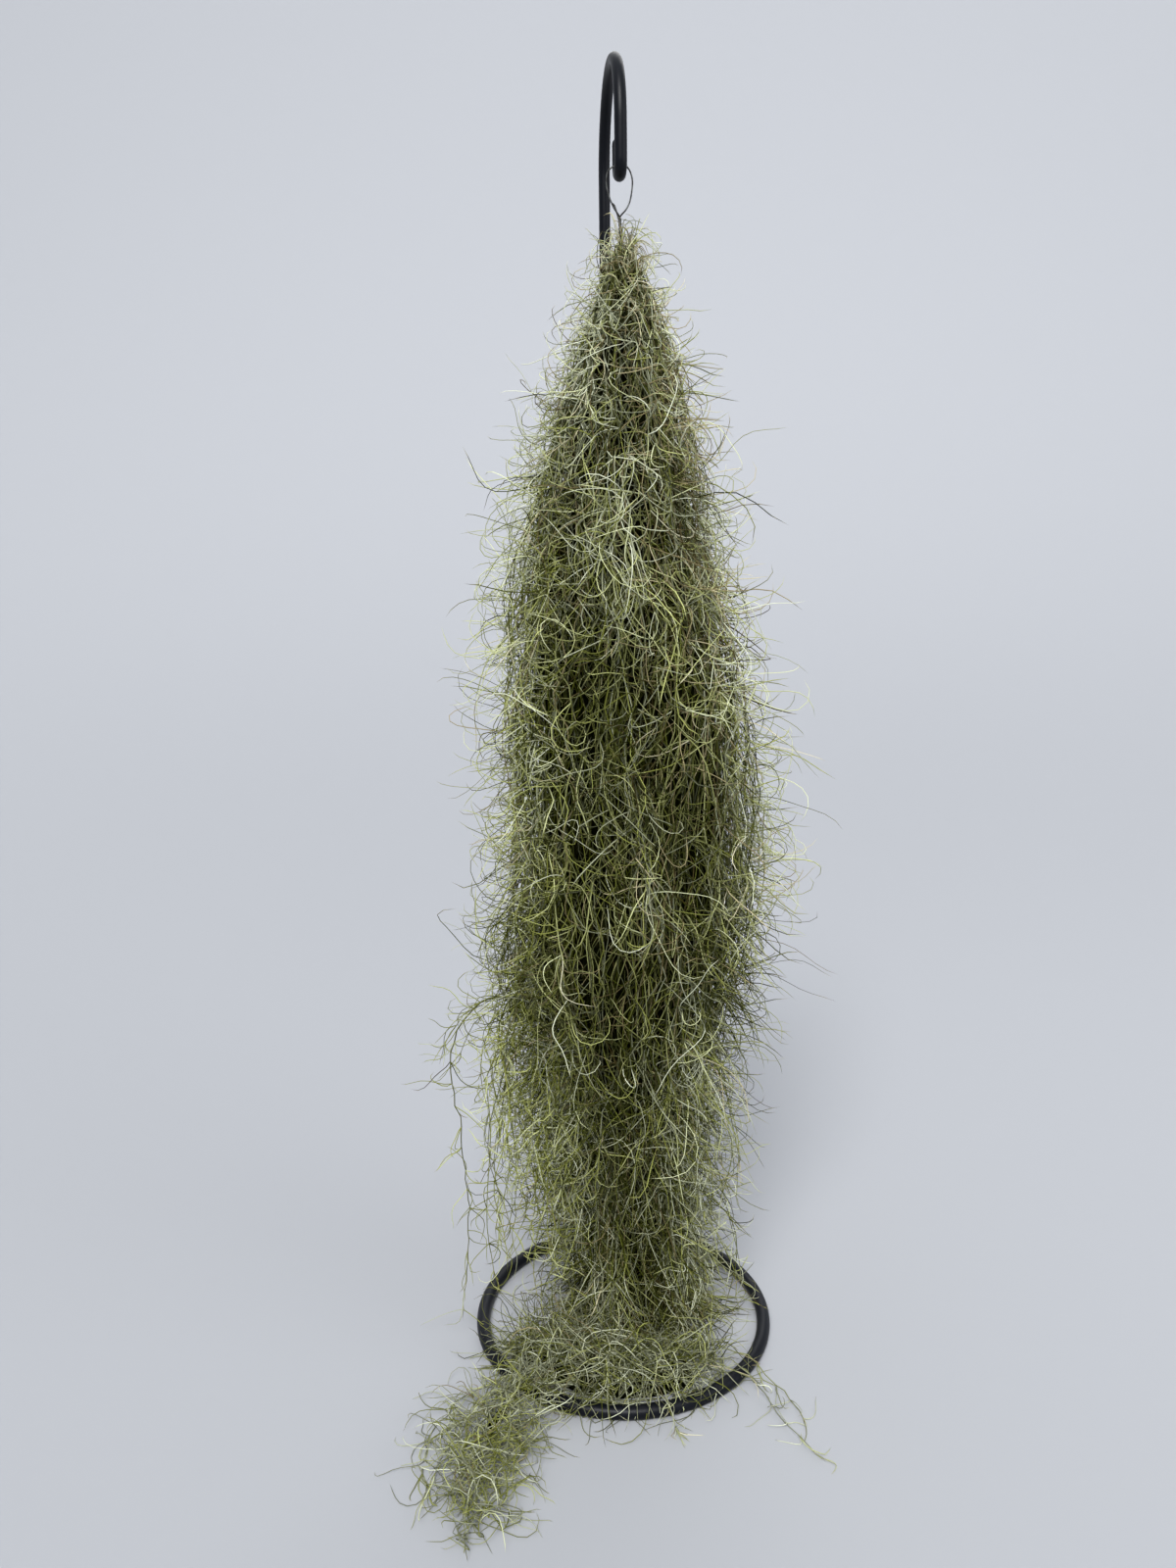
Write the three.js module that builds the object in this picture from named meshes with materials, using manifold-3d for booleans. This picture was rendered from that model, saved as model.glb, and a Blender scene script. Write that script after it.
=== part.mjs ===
// A bunch of Spanish moss, hung by a wire from a free-standing shepherd's-crook stand.
//
// Millimetres, +Z up. While it is built, the stand's base ring lies round the Z axis on the floor
// z = 0, the post rises at its back (+Y) and the hook hangs over its middle. The finished group is
// then moved sideways, so that the middle of the whole part's footprint is at X = Y = 0.

import * as THREE from "three";
import { mergeVertices } from "three/addons/utils/BufferGeometryUtils.js";
import Module from "manifold-3d";

const wasm = await Module();
wasm.setup();

// ---- Driving dimensions: the stand ----
const RING_RADIUS = 142.6; // to the middle of the ring's rod
const RING_ROD = 13; // rod of the ring, across its flats
const RING_STEPS = 36;
const POST_ROD = 11; // rod of the post and hook
const ROD_SIDES = 8;
const WELD_GAP = 0.3; // between the ring and the post's foot
const POST = new THREE.Vector2(-3.5, RING_RADIUS);
const ARM = new THREE.Vector2(7, 0); // the arm that comes down in front
const ARCH_CENTRE_Z = 1131;
const ARCH_STEPS = 12;
const HOOK_CENTRE_Z = 1099.7;
const HOOK_RADIUS = 9; // to the middle of the rod, in the hook's bend
const HOOK_STEPS = 6;
const HOOK_TIP_Z = 1123;

// ---- Driving dimensions: the wire ----
const WIRE_RADIUS = 0.7;
const WIRE_SIDES = 5;
const WIRE_SEAT = 0.3; // between the wire and the hook it hangs on
const TWIST_RADIUS = 1.5; // the twisted end in the moss
const TWIST_END_Z = 1012;
const LOOP_HALF_WIDTH = 11;
const LOOP_CROSSING_Z = 1057; // where the loop's two legs cross

// ---- Driving dimensions: the moss ----
const HANKS = 12;
const HANK_GAP = 0.5; // between two hanks
const HOLE_RADIUS = 2.1; // round the wire, down the middle of the bunch
// How far the hanks' dense part reaches from the bunch's axis: height, then left, right, front, back.
const REACH = [
  [1036, 7, 7, 7, 7],
  [1016, 19, 21, 20, 19],
  [985, 33, 37, 34, 32],
  [935, 54, 53, 52, 46],
  [870, 74, 65, 68, 62],
  [800, 84, 78, 80, 72],
  [715, 93, 90, 92, 82],
  [625, 99, 106, 100, 88],
  [540, 101, 109, 104, 92],
  [455, 105, 117, 107, 94],
  [370, 112, 120, 110, 95],
  [290, 107, 115, 108, 93],
  [215, 82, 108, 99, 87],
  [140, 60, 103, 92, 79],
  [65, 54, 97, 86, 73],
];
// A hank's outline between its two edges, with the ridges that its strands make: share of the way
// across, share of the reach there.
const HANK_OUTLINE = [
  [0, 0.8],
  [0.08, 0.95],
  [0.19, 0.92],
  [0.3, 1.04],
  [0.4, 0.96],
  [0.5, 1.08],
  [0.6, 0.97],
  [0.7, 1.04],
  [0.81, 0.92],
  [0.92, 0.95],
  [1, 0.8],
];
const RIDGE_WANDER = 0.035; // how far the ridges stray sideways, as a share of the way across
const RIDGE_UNEVENNESS = 0.022; // how much they rise and sink on their way down
const EDGE_SWAY = [5.5, 2.5]; // degrees, the slow and the quick sway of the edges between hanks
const RELIEF = [0.055, 0.045, 0.03]; // swelling of the locks, as shares of the reach
const FOOT_HEIGHTS = [4, 22, 9, 16]; // the hanks' lower ends, in turn
const FOOT_TAPER = 0.82; // width of a hank's end as a share of its lowest full section

const LEAF_SIDES = 3;
const LEAF_RADIUS = 0.95; // round the corners of the three-sided leaf, at its root
const LEAF_TAPER = [1, 0.85, 0]; // at its root, its bend and its tip
const LEAF_BEND = 0.45; // how far along it bends
const LEAF_LENGTH = [34, 64];
const LEAF_SINK = 7; // how deep a leaf's root goes into what it grows from
const LEAF_SPREAD = 0.8; // how far a leaf leans away from straight out
const LEAF_CLEARANCE = 3; // between the middles of two leaves
const LEAVES_ON_HANK = 26;
const LEAVES_ON_PILE = 34;
const LEAVES_ON_TAIL = 44;
const LEAVES_AT_TOP = 10;
const STRAND_RADIUS = 1.1;
const STRAND_SIDES = 4;
const STRAND_STEP = 28;
const HANGING_LENGTH = [150, 240]; // of the strands that hang over the hanks
const HANGING_CLEAR = [8, 13]; // between such a strand and its hank
const HANGING_SWING = 0.12; // how far it strays sideways, as a share of the way across its hank

const FUSE_TOLERANCE = 0.08; // how far a face may move when pieces are joined
const FINISHES = {
  steel: { color: 0x141517, roughness: 0.38, metalness: 0.6 },
  wire: { color: 0x4b4d4c, roughness: 0.45, metalness: 0.9 },
};
const MOSS_COLOURS = [0x7d8560, 0x8a9168, 0x747c55, 0x868c6c, 0x6f774f, 0x929772];
const MOSS_ROUGHNESS = 0.85;

const SEED = 1871;

// ---- Small tools ----

// A repeatable stream of random numbers between 0 and 1.
function randomStream(seed) {
  let state = seed >>> 0;
  return () => {
    state = (state + 0x6d2b79f5) >>> 0;
    let t = Math.imul(state ^ (state >>> 15), state | 1);
    t ^= t + Math.imul(t ^ (t >>> 7), t | 61);
    return ((t ^ (t >>> 14)) >>> 0) / 4294967296;
  };
}

const random = randomStream(SEED);
const between = (low, high) => low + (high - low) * random();
const degrees = (angle) => (angle * Math.PI) / 180;
const vectors = (list) => list.map(([x, y, z]) => new THREE.Vector3(x, y, z));

// A random unit vector.
function anyDirection() {
  const z = between(-1, 1);
  const turn = between(0, 2 * Math.PI);
  const flat = Math.sqrt(1 - z * z);
  return new THREE.Vector3(flat * Math.cos(turn), flat * Math.sin(turn), z);
}

// Value at `x` on the straight lines through rising [x, value] pairs.
function alongLine(pairs, x) {
  let i = 1;
  while (i < pairs.length - 1 && x > pairs[i][0]) i++;
  const [[x0, v0], [x1, v1]] = [pairs[i - 1], pairs[i]];
  return v0 + ((v1 - v0) * (x - x0)) / (x1 - x0);
}

// Points close together along a path of points.
const PROBE_STEP = 2;
function stepsAlong(path) {
  const points = [];
  for (let i = 0; i + 1 < path.length; i++) {
    const count = Math.ceil(path[i].distanceTo(path[i + 1]) / PROBE_STEP);
    for (let j = 0; j < count; j++) points.push(path[i].clone().lerp(path[i + 1], j / count));
  }
  return [...points, path.at(-1)];
}

// Closed skin over a row of rings of points. Each ring runs anticlockwise about the way the row
// goes and has as many points as the others, but the last ring may be a single point. The faces'
// diagonals lean to and fro in turn.
function loft(rings) {
  const sides = rings[0].length;
  const points = rings.flat();
  const triangles = [];
  for (let i = 0; i + 1 < rings.length; i++) {
    const [low, high] = [i * sides, (i + 1) * sides];
    for (let j = 0; j < sides; j++) {
      const k = (j + 1) % sides;
      if (rings[i + 1].length === 1) {
        triangles.push(low + j, low + k, high);
      } else if (j % 2) {
        triangles.push(low + j, low + k, high + j);
        triangles.push(low + k, high + k, high + j);
      } else {
        triangles.push(low + j, low + k, high + k);
        triangles.push(low + j, high + k, high + j);
      }
    }
  }
  const closeEnd = (ring, first, downwards) => {
    const middle = ring.reduce((sum, p) => sum.add(p), new THREE.Vector3()).divideScalar(sides);
    const centre = points.push(middle) - 1;
    for (let j = 0; j < sides; j++) {
      const k = (j + 1) % sides;
      triangles.push(centre, first + (downwards ? k : j), first + (downwards ? j : k));
    }
  };
  closeEnd(rings[0], 0, true);
  if (rings.at(-1).length > 1) closeEnd(rings.at(-1), (rings.length - 1) * sides, false);
  const geometry = new THREE.BufferGeometry().setFromPoints(points);
  geometry.setIndex(triangles);
  return geometry;
}

// A bar along a path of points, with a radius at each point: 0 at the last makes a sharp end. A
// corner of its section faces `across`, or a flat does if `flatAcross`.
function barAlong(path, radii, sides, across, flatAcross = false) {
  const offset = flatAcross ? Math.PI / sides : 0;
  const side = across.clone().normalize();
  const rings = path.map((point, i) => {
    if (radii[i] === 0) return [point.clone()];
    const ahead = path[Math.min(i + 1, path.length - 1)];
    const behind = path[Math.max(i - 1, 0)];
    const along = ahead.clone().sub(behind).normalize();
    if (Math.abs(side.dot(along)) > 0.97) side.set(along.y, along.z, -along.x);
    side.addScaledVector(along, -side.dot(along)).normalize();
    const up = along.clone().cross(side);
    return Array.from({ length: sides }, (_, j) => {
      const turn = offset + (2 * Math.PI * j) / sides;
      const corner = point.clone().addScaledVector(side, radii[i] * Math.cos(turn));
      return corner.addScaledVector(up, radii[i] * Math.sin(turn));
    });
  });
  return loft(rings);
}

// A closed three.js geometry as a manifold-3d solid.
function solid(geometry) {
  const merged = mergeVertices(geometry, 1e-3);
  return new wasm.Manifold(
    new wasm.Mesh({
      numProp: 3,
      vertProperties: new Float32Array(merged.attributes.position.array),
      triVerts: new Uint32Array(merged.index.array),
    }),
  );
}

// Closed geometries joined into one, without vertices that don't shape it.
function fuse(geometries) {
  const joined = wasm.Manifold.union(geometries.map(solid));
  const mesh = joined.asOriginal().simplify(FUSE_TOLERANCE).getMesh();
  const geometry = new THREE.BufferGeometry();
  geometry.setAttribute("position", new THREE.BufferAttribute(mesh.vertProperties, 3));
  geometry.setIndex(new THREE.BufferAttribute(mesh.triVerts, 1));
  return geometry;
}

// ---- The stand: a base ring, and a bent rod that is post, arch, arm and hook in one ----

// Corner radius of a rod that measures `acrossFlats` between two opposite flats.
const cornerRadius = (acrossFlats) => acrossFlats / 2 / Math.cos(Math.PI / ROD_SIDES);

function standRing() {
  const radius = cornerRadius(RING_ROD);
  const corners = Array.from({ length: ROD_SIDES + 1 }, (_, i) => {
    const turn = (2 * Math.PI * (i + 0.5)) / ROD_SIDES;
    const [out, up] = [radius * Math.cos(turn), radius * Math.sin(turn)];
    return new THREE.Vector2(RING_RADIUS + out, RING_ROD / 2 + up);
  });
  return new THREE.LatheGeometry(corners, RING_STEPS).rotateX(Math.PI / 2);
}

// Points in the plane of the hook are given by their distance from the arm, towards the post.
const span = POST.distanceTo(ARM);
const toPost = POST.clone().sub(ARM).divideScalar(span);
const inHookPlane = (fromArm, z) =>
  new THREE.Vector3(ARM.x + toPost.x * fromArm, ARM.y + toPost.y * fromArm, z);
const hookBend = inHookPlane(HOOK_RADIUS, HOOK_CENTRE_Z - HOOK_RADIUS);

function standPost() {
  const path = [inHookPlane(span, RING_ROD + WELD_GAP)];
  for (let i = 0; i <= ARCH_STEPS; i++) {
    const turn = (Math.PI * i) / ARCH_STEPS;
    const z = ARCH_CENTRE_Z + (span / 2) * Math.sin(turn);
    path.push(inHookPlane((span / 2) * (1 + Math.cos(turn)), z));
  }
  for (let i = 0; i <= HOOK_STEPS; i++) {
    const turn = (Math.PI * i) / HOOK_STEPS;
    const z = HOOK_CENTRE_Z - HOOK_RADIUS * Math.sin(turn);
    path.push(inHookPlane(HOOK_RADIUS * (1 - Math.cos(turn)), z));
  }
  const radius = cornerRadius(POST_ROD);
  const roundedEnd = [
    [POST_ROD / 2, radius],
    [POST_ROD / 6, 0.72 * radius],
    [0, 0],
  ];
  const radii = path.map(() => radius);
  for (const [below, endRadius] of roundedEnd) {
    path.push(inHookPlane(2 * HOOK_RADIUS, HOOK_TIP_Z - below));
    radii.push(endRadius);
  }
  return barAlong(path, radii, ROD_SIDES, new THREE.Vector3(toPost.y, -toPost.x, 0), true);
}

// ---- The wire: a loop over the hook's bend, crossed below it and twisted into the moss ----

const wireTop = hookBend.z + POST_ROD / 2 + WIRE_RADIUS + WIRE_SEAT;
// Points of the loop are given across it, by their height, and by how far they stand back.
const inLoop = (list) =>
  list.map(([x, z, back = 0]) => new THREE.Vector3(hookBend.x + x, hookBend.y + back, z));
const loopPath = inLoop([
  [0.3, LOOP_CROSSING_Z - 8, 0.4],
  [0, LOOP_CROSSING_Z - 1, 0.4],
  [-5, LOOP_CROSSING_Z + 6.5, 0.3],
  [-9, LOOP_CROSSING_Z + 15],
  [-LOOP_HALF_WIDTH - 0.6, LOOP_CROSSING_Z + 25],
  [-LOOP_HALF_WIDTH, wireTop - 6],
  [-8, wireTop - 1.6],
  [-4.4, wireTop],
  [4.4, wireTop],
  [7.6, wireTop - 2],
  [LOOP_HALF_WIDTH - 1, wireTop - 7],
  [LOOP_HALF_WIDTH, LOOP_CROSSING_Z + 26],
  [9, LOOP_CROSSING_Z + 13],
  [5.5, LOOP_CROSSING_Z + 5.5, -0.3],
  [0, LOOP_CROSSING_Z - 1, -0.4],
  [-0.3, LOOP_CROSSING_Z - 8, -0.4],
]);
const twistPath = inLoop([
  [0, LOOP_CROSSING_Z - 5],
  [0.4, LOOP_CROSSING_Z - 13, 0.3],
  [0, REACH[0][0] + 3],
  [0, TWIST_END_Z],
]);
const freeEndPath = inLoop([
  [-6.6, LOOP_CROSSING_Z + 9.9],
  [-4.4, LOOP_CROSSING_Z + 11.5, -0.5],
  [-1, LOOP_CROSSING_Z + 9.5, -1.2],
]);

function wireLoop() {
  const round = (path, radius, sides) =>
    barAlong(path, path.map(() => radius), sides, new THREE.Vector3(0, 1, 0));
  return fuse([
    round(loopPath, WIRE_RADIUS, WIRE_SIDES),
    round(twistPath, TWIST_RADIUS, WIRE_SIDES + 1),
    round(freeEndPath, WIRE_RADIUS, WIRE_SIDES),
  ]);
}

// ---- The bunch's dense part: hanks, which fill it like the slices of an orange ----

const levels = REACH.map(([z]) => z);
const polar = (radius, angle, z) =>
  new THREE.Vector3(hookBend.x + radius * Math.cos(angle), hookBend.y + radius * Math.sin(angle), z);

// The edges between hanks sway with height. Both neighbours share an edge, so that their walls
// stay HANK_GAP apart all the way down.
const edgePhase = Array.from({ length: HANKS }, () => between(0, 2 * Math.PI));
const edgeAngle = (edge, level) =>
  degrees((360 / HANKS) * edge) +
  degrees(EDGE_SWAY[0]) * Math.sin(levels[level] / 105 + edgePhase[edge % HANKS]) +
  degrees(EDGE_SWAY[1]) * Math.sin(levels[level] / 43 + edgePhase[(edge + 5) % HANKS]);

// Reach of the dense part at a level: a quarter of an ellipse between each two of the four reaches
// that REACH gives, with locks that swell and sink on it.
const reliefPhase = RELIEF.map(() => between(0, 2 * Math.PI));
function reachAt(angle, level) {
  const [z, left, right, front, back] = REACH[level];
  const alongX = Math.cos(angle) / (Math.cos(angle) > 0 ? right : left);
  const alongY = Math.sin(angle) / (Math.sin(angle) > 0 ? back : front);
  const locks =
    RELIEF[0] * Math.sin(3 * angle + z / 70 + reliefPhase[0]) +
    RELIEF[1] * Math.sin(5 * angle - z / 52 + reliefPhase[1]) +
    RELIEF[2] * Math.sin(8 * angle + z / 37 + reliefPhase[2]);
  return (1 + locks) / Math.hypot(alongX, alongY);
}

// Blends what `valueAt` gives for the two levels next to a height.
function atHeight(z, valueAt) {
  let level = 0;
  while (level < levels.length - 2 && z < levels[level + 1]) level++;
  const share = (levels[level] - z) / (levels[level] - levels[level + 1]);
  const low = THREE.MathUtils.clamp(share, 0, 1);
  return valueAt(level) * (1 - low) + valueAt(level + 1) * low;
}

const SLOPE_STEP = 12;

class Hank {
  constructor(index) {
    this.index = index;
    this.pieces = [this.core()]; // closed geometries, to be fused in the end
  }

  // Section at a level, moved to another height and narrowed if asked.
  section(level, z = levels[level], width = 1) {
    const [edgeA, edgeB] = [edgeAngle(this.index, level), edgeAngle(this.index + 1, level)];
    const wallPoint = (edge, radius, inward) => {
      const aside = new THREE.Vector3(-Math.sin(edge), Math.cos(edge), 0);
      return polar(radius, edge, z).addScaledVector(aside, (inward * HANK_GAP) / 2);
    };
    const groove = (edge) => HANK_OUTLINE[0][1] * reachAt(edge, level) * width;
    const skin = HANK_OUTLINE.slice(1, -1).map(([across, share], i) => {
      const stray = RIDGE_WANDER * Math.sin(levels[level] / 31 + 2.4 * this.index);
      const angle = edgeA + (edgeB - edgeA) * (across + stray);
      const uneven = RIDGE_UNEVENNESS * Math.sin(levels[level] / 23 + 1.9 * i + 3.1 * this.index);
      return polar((share + uneven) * reachAt(angle, level) * width, angle, z);
    });
    return [
      wallPoint(edgeA, HOLE_RADIUS, 1),
      wallPoint(edgeA, groove(edgeA), 1),
      ...skin,
      wallPoint(edgeB, groove(edgeB), -1),
      wallPoint(edgeB, HOLE_RADIUS, -1),
    ];
  }

  core() {
    const last = levels.length - 1;
    const foot = this.section(last, FOOT_HEIGHTS[this.index % FOOT_HEIGHTS.length], FOOT_TAPER);
    return loft([foot, ...levels.map((_, i) => this.section(last - i))]);
  }

  // Angle at a share of the way across the hank.
  angle(across, z) {
    return atHeight(z, (level) => {
      const [edgeA, edgeB] = [edgeAngle(this.index, level), edgeAngle(this.index + 1, level)];
      return edgeA + (edgeB - edgeA) * across;
    });
  }

  // A place on the skin, with the direction that faces out there.
  skin(across, z) {
    const angle = this.angle(across, z);
    const reach = (height) => atHeight(height, (level) => reachAt(angle, level));
    const point = polar(alongLine(HANK_OUTLINE, across) * reach(z), angle, z);
    const slope = (reach(z + SLOPE_STEP) - reach(z - SLOPE_STEP)) / (2 * SLOPE_STEP);
    const out = new THREE.Vector3(Math.cos(angle), Math.sin(angle), -slope).normalize();
    return { point, out };
  }

  holds(p) {
    if (p.z > levels[0] + 1) return false;
    const angle = Math.atan2(p.y - hookBend.y, p.x - hookBend.x);
    const low = this.angle(0, p.z);
    const turn = THREE.MathUtils.euclideanModulo(angle - low, 2 * Math.PI);
    if (turn > this.angle(1, p.z) - low) return false;
    const reach = atHeight(p.z, (level) => reachAt(angle, level));
    return Math.hypot(p.x - hookBend.x, p.y - hookBend.y) < 1.1 * reach;
  }
}

// ---- Heaps of moss on the floor ----

// A heap follows a path over the floor: each of its stations is [x, y, half width, height, clear
// height below]. Its section is a flat foot with an arch over it, ridged by the strands.
const HEAP_ARCH = [1, 0.85, 0.62, 0.38, 0.12, -0.14, -0.4, -0.64, -0.87, -1]; // corners across it
const HEAP_RIDGE = 0.1; // the corners' rise and fall in turn, as a share of the heap's size
const HEAP_LUMP = 0.04; // the ridges' own, along the heap
const HEAP_FOOT = 0.85; // half width of the foot, as a share of the heap's
const HEAP_EDGE = 0.22; // height of the arch's edge, as a share of the heap's

class Heap {
  constructor(stations) {
    this.stations = stations.map(([x, y, half, height, under]) => ({ x, y, half, height, under }));
    this.pieces = [loft(this.stations.map((_, i) => this.section(i)))];
  }

  // Middle, sizes and sideways direction at a place along the heap, counted in stations.
  at(place) {
    const i = Math.min(Math.floor(place), this.stations.length - 2);
    const [a, b] = [this.stations[i], this.stations[i + 1]];
    const mix = (key) => a[key] + (b[key] - a[key]) * (place - i);
    const before = this.stations[Math.max(Math.round(place) - 1, 0)];
    const after = this.stations[Math.min(Math.round(place) + 1, this.stations.length - 1)];
    const side = new THREE.Vector3(before.y - after.y, after.x - before.x, 0).normalize();
    const [x, y, half, height, under] = ["x", "y", "half", "height", "under"].map(mix);
    return { middle: new THREE.Vector3(x, y, under), half, height, side };
  }

  // Point on the arch, `across` from -1 to 1.
  arch(place, across, swell = 1) {
    const { middle, half, height, side } = this.at(place);
    const rise = HEAP_EDGE + (1 - HEAP_EDGE) * Math.sqrt(Math.max(0, 1 - across * across));
    middle.z += rise * height * swell;
    return middle.addScaledVector(side, across * half * swell);
  }

  section(i) {
    const { middle, half, side } = this.at(i);
    const foot = (across) => middle.clone().addScaledVector(side, across * half);
    const corners = HEAP_ARCH.map((across, j) => {
      const ridge = j % 2 ? HEAP_RIDGE : -HEAP_RIDGE;
      return this.arch(i, across, 1 + ridge + HEAP_LUMP * Math.sin(2.2 * i + 1.7 * j));
    });
    return [...corners, foot(-HEAP_FOOT), foot(HEAP_FOOT)];
  }

  // A place on the arch, with the direction that faces out there.
  skin(along, across) {
    const place = along * (this.stations.length - 1);
    const { height, half, side } = this.at(place);
    const up = Math.sqrt(Math.max(0, 1 - across * across));
    const out = new THREE.Vector3(0, 0, up / height).addScaledVector(side, across / half).normalize();
    return { point: this.arch(place, across), out };
  }

  holds(p) {
    for (let i = 0; i + 1 < this.stations.length; i++) {
      const [a, b] = [this.stations[i], this.stations[i + 1]];
      const [ux, uy] = [b.x - a.x, b.y - a.y];
      const share = ((p.x - a.x) * ux + (p.y - a.y) * uy) / (ux * ux + uy * uy);
      if (share < -0.06 || share > 1.06) continue;
      const mix = (key) => a[key] + (b[key] - a[key]) * share;
      const aside = Math.hypot(p.x - a.x - ux * share, p.y - a.y - uy * share);
      const rise = (p.z - mix("under")) / mix("height");
      if (aside < 1.1 * mix("half") && rise > -0.05 && rise < 1.1) return true;
    }
    return false;
  }
}

// ---- Leaves and strands, which keep clear of all that is there ----

// The places that leaves, strands and the wire take up, as points in a grid of cells.
const CELL = 4;
const takenCells = new Map();
const cellKey = (...place) => place.map((value) => Math.floor(value / CELL)).join();

function take(points) {
  for (const p of points) {
    const key = cellKey(p.x, p.y, p.z);
    if (!takenCells.has(key)) takenCells.set(key, []);
    takenCells.get(key).push(p);
  }
}

function nearTaken(p) {
  for (let i = 0; i < 27; i++) {
    const [dx, dy, dz] = [(i % 3) - 1, (Math.floor(i / 3) % 3) - 1, Math.floor(i / 9) - 1];
    const cell = takenCells.get(cellKey(p.x + dx * CELL, p.y + dy * CELL, p.z + dz * CELL)) ?? [];
    if (cell.some((q) => q.distanceTo(p) < LEAF_CLEARANCE)) return true;
  }
  return false;
}

const POST_KEEP_OUT = POST_ROD / 2 + 2.2;
const RING_KEEP_OUT = RING_ROD / 2 + 2;
const FLOOR_KEEP_OUT = 1.2;
const HANK_KEEP_OUT = 1.7;
const SIDE_STEPS = vectors([
  [0, 0, 0],
  [1, 0, 0],
  [-1, 0, 0],
  [0, 1, 0],
  [0, -1, 0],
  [0, 0, 1],
  [0, 0, -1],
]);

function hitsStand(p) {
  const fromPost = Math.hypot(p.x - POST.x, p.y - POST.y);
  const fromRing = Math.hypot(Math.hypot(p.x, p.y) - RING_RADIUS, p.z - RING_ROD / 2);
  return fromPost < POST_KEEP_OUT || fromRing < RING_KEEP_OUT || p.z < FLOOR_KEEP_OUT;
}

// Whether something that grows from `owner` may take this path. What is inside the owner is free.
function isFree(path, owner) {
  return stepsAlong(path).every((p) => {
    if (!owner.holds(p) && (hitsStand(p) || nearTaken(p))) return false;
    return SIDE_STEPS.every((step) => {
      const beside = p.clone().addScaledVector(step, HANK_KEEP_OUT);
      return owners.every((other) => other === owner || !other.holds(beside));
    });
  });
}

// One leaf: it leaves along `heading`, bends and droops.
function leafPath(root, heading, length) {
  const ahead = heading.clone().normalize();
  const bend = root.clone().addScaledVector(ahead, LEAF_SINK + LEAF_BEND * length);
  ahead.addScaledVector(anyDirection(), between(0.4, 0.9));
  ahead.z -= between(0, 0.5);
  const tip = bend.clone().addScaledVector(ahead.normalize(), (1 - LEAF_BEND) * length);
  return [root, bend, tip];
}

// Grows the first of a few random leaves that finds room. `skip` is the share of the leaf's first
// step that may touch what it grows from.
const LEAF_TRIES = 14;
function growLeaf(owner, root, nextHeading, skip = 0) {
  for (let i = 0; i < LEAF_TRIES; i++) {
    const length = between(...LEAF_LENGTH) * (1 - 0.03 * i);
    const path = leafPath(root, nextHeading(), length);
    const clear = [path[0].clone().lerp(path[1], skip), ...path.slice(1)];
    if (!isFree(clear, owner)) continue;
    take(stepsAlong(clear).filter((p) => !owner.holds(p)));
    const radii = LEAF_TAPER.map((share) => share * LEAF_RADIUS);
    owner.pieces.push(barAlong(path, radii, LEAF_SIDES, anyDirection()));
    return;
  }
}

// A leaf on the owner's skin.
function growSkinLeaf(owner, { point, out }) {
  const root = point.clone().addScaledVector(out, -LEAF_SINK);
  growLeaf(owner, root, () => out.clone().addScaledVector(anyDirection(), LEAF_SPREAD));
}

// A long thin strand that starts inside its owner. At each of its steps it bends and has leaves.
function growStrand(owner, points, step = STRAND_STEP, leaves = 1) {
  const curve = new THREE.CatmullRomCurve3(points, false, "centripetal");
  const steps = Math.ceil(curve.getLength() / step);
  const path = curve.getSpacedPoints(steps);
  const radii = path.map((_, i) => (i === steps ? 0 : STRAND_RADIUS * (1 - (0.35 * i) / steps)));
  owner.pieces.push(barAlong(path, radii, STRAND_SIDES, new THREE.Vector3(0, 1, 0)));
  take(stepsAlong(path).filter((p) => !owner.holds(p)));
  for (let i = 1; i < steps; i++) {
    const along = path[i + 1].clone().sub(path[i - 1]).normalize();
    const heading = () => anyDirection().cross(along).normalize().addScaledVector(along, 0.7);
    for (let j = 0; j < leaves && !owner.holds(path[i]); j++)
      growLeaf(owner, path[i], heading, 0.35);
  }
}

// ---- The moss ----

const hanks = Array.from({ length: HANKS }, (_, index) => new Hank(index));
const OVER_RING = RING_ROD + 0.4;
// Inside the ring, along its front.
const pile = new Heap([
  [-101, -46, 13, 20, 0.4],
  [-87, -64, 20, 30, 0.4],
  [-66, -85, 20, 36, 0.4],
  [-38, -103, 18, 40, 0.4],
  [-6, -112, 15, 40, 0.4],
  [27, -110, 14, 34, 0.4],
  [57, -99, 12, 28, 0.4],
  [82, -81, 10, 20, 0.4],
]);
// Over the ring at the left and out on the floor.
const tail = new Heap([
  [-87, -97, 24, 18, OVER_RING],
  [-99, -113, 30, 22, OVER_RING],
  [-112, -143, 38, 26, 0.4],
  [-122, -187, 46, 26, 0.4],
  [-128, -231, 38, 20, 0.4],
  [-130, -264, 18, 12, 0.4],
]);
const owners = [...hanks, pile, tail];
take(stepsAlong(loopPath));
take(stepsAlong(freeEndPath));

// Two strands that stand clear of the bunch at the left and run down towards the floor.
growStrand(
  hanks[6],
  vectors([
    [-62, -5, 340],
    [-118, -8, 352],
    [-152, -14, 330],
    [-166, -18, 285],
    [-158, -20, 225],
    [-154, -20, 165],
    [-153, -20, 100],
    [-159, -21, 45],
    [-162, -21, 14],
  ]),
);
growStrand(
  hanks[5],
  vectors([
    [-62, 18, 304],
    [-106, 14, 286],
    [-114, 10, 240],
    [-106, 8, 190],
    [-108, 6, 130],
    [-113, 4, 70],
  ]),
);
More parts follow.
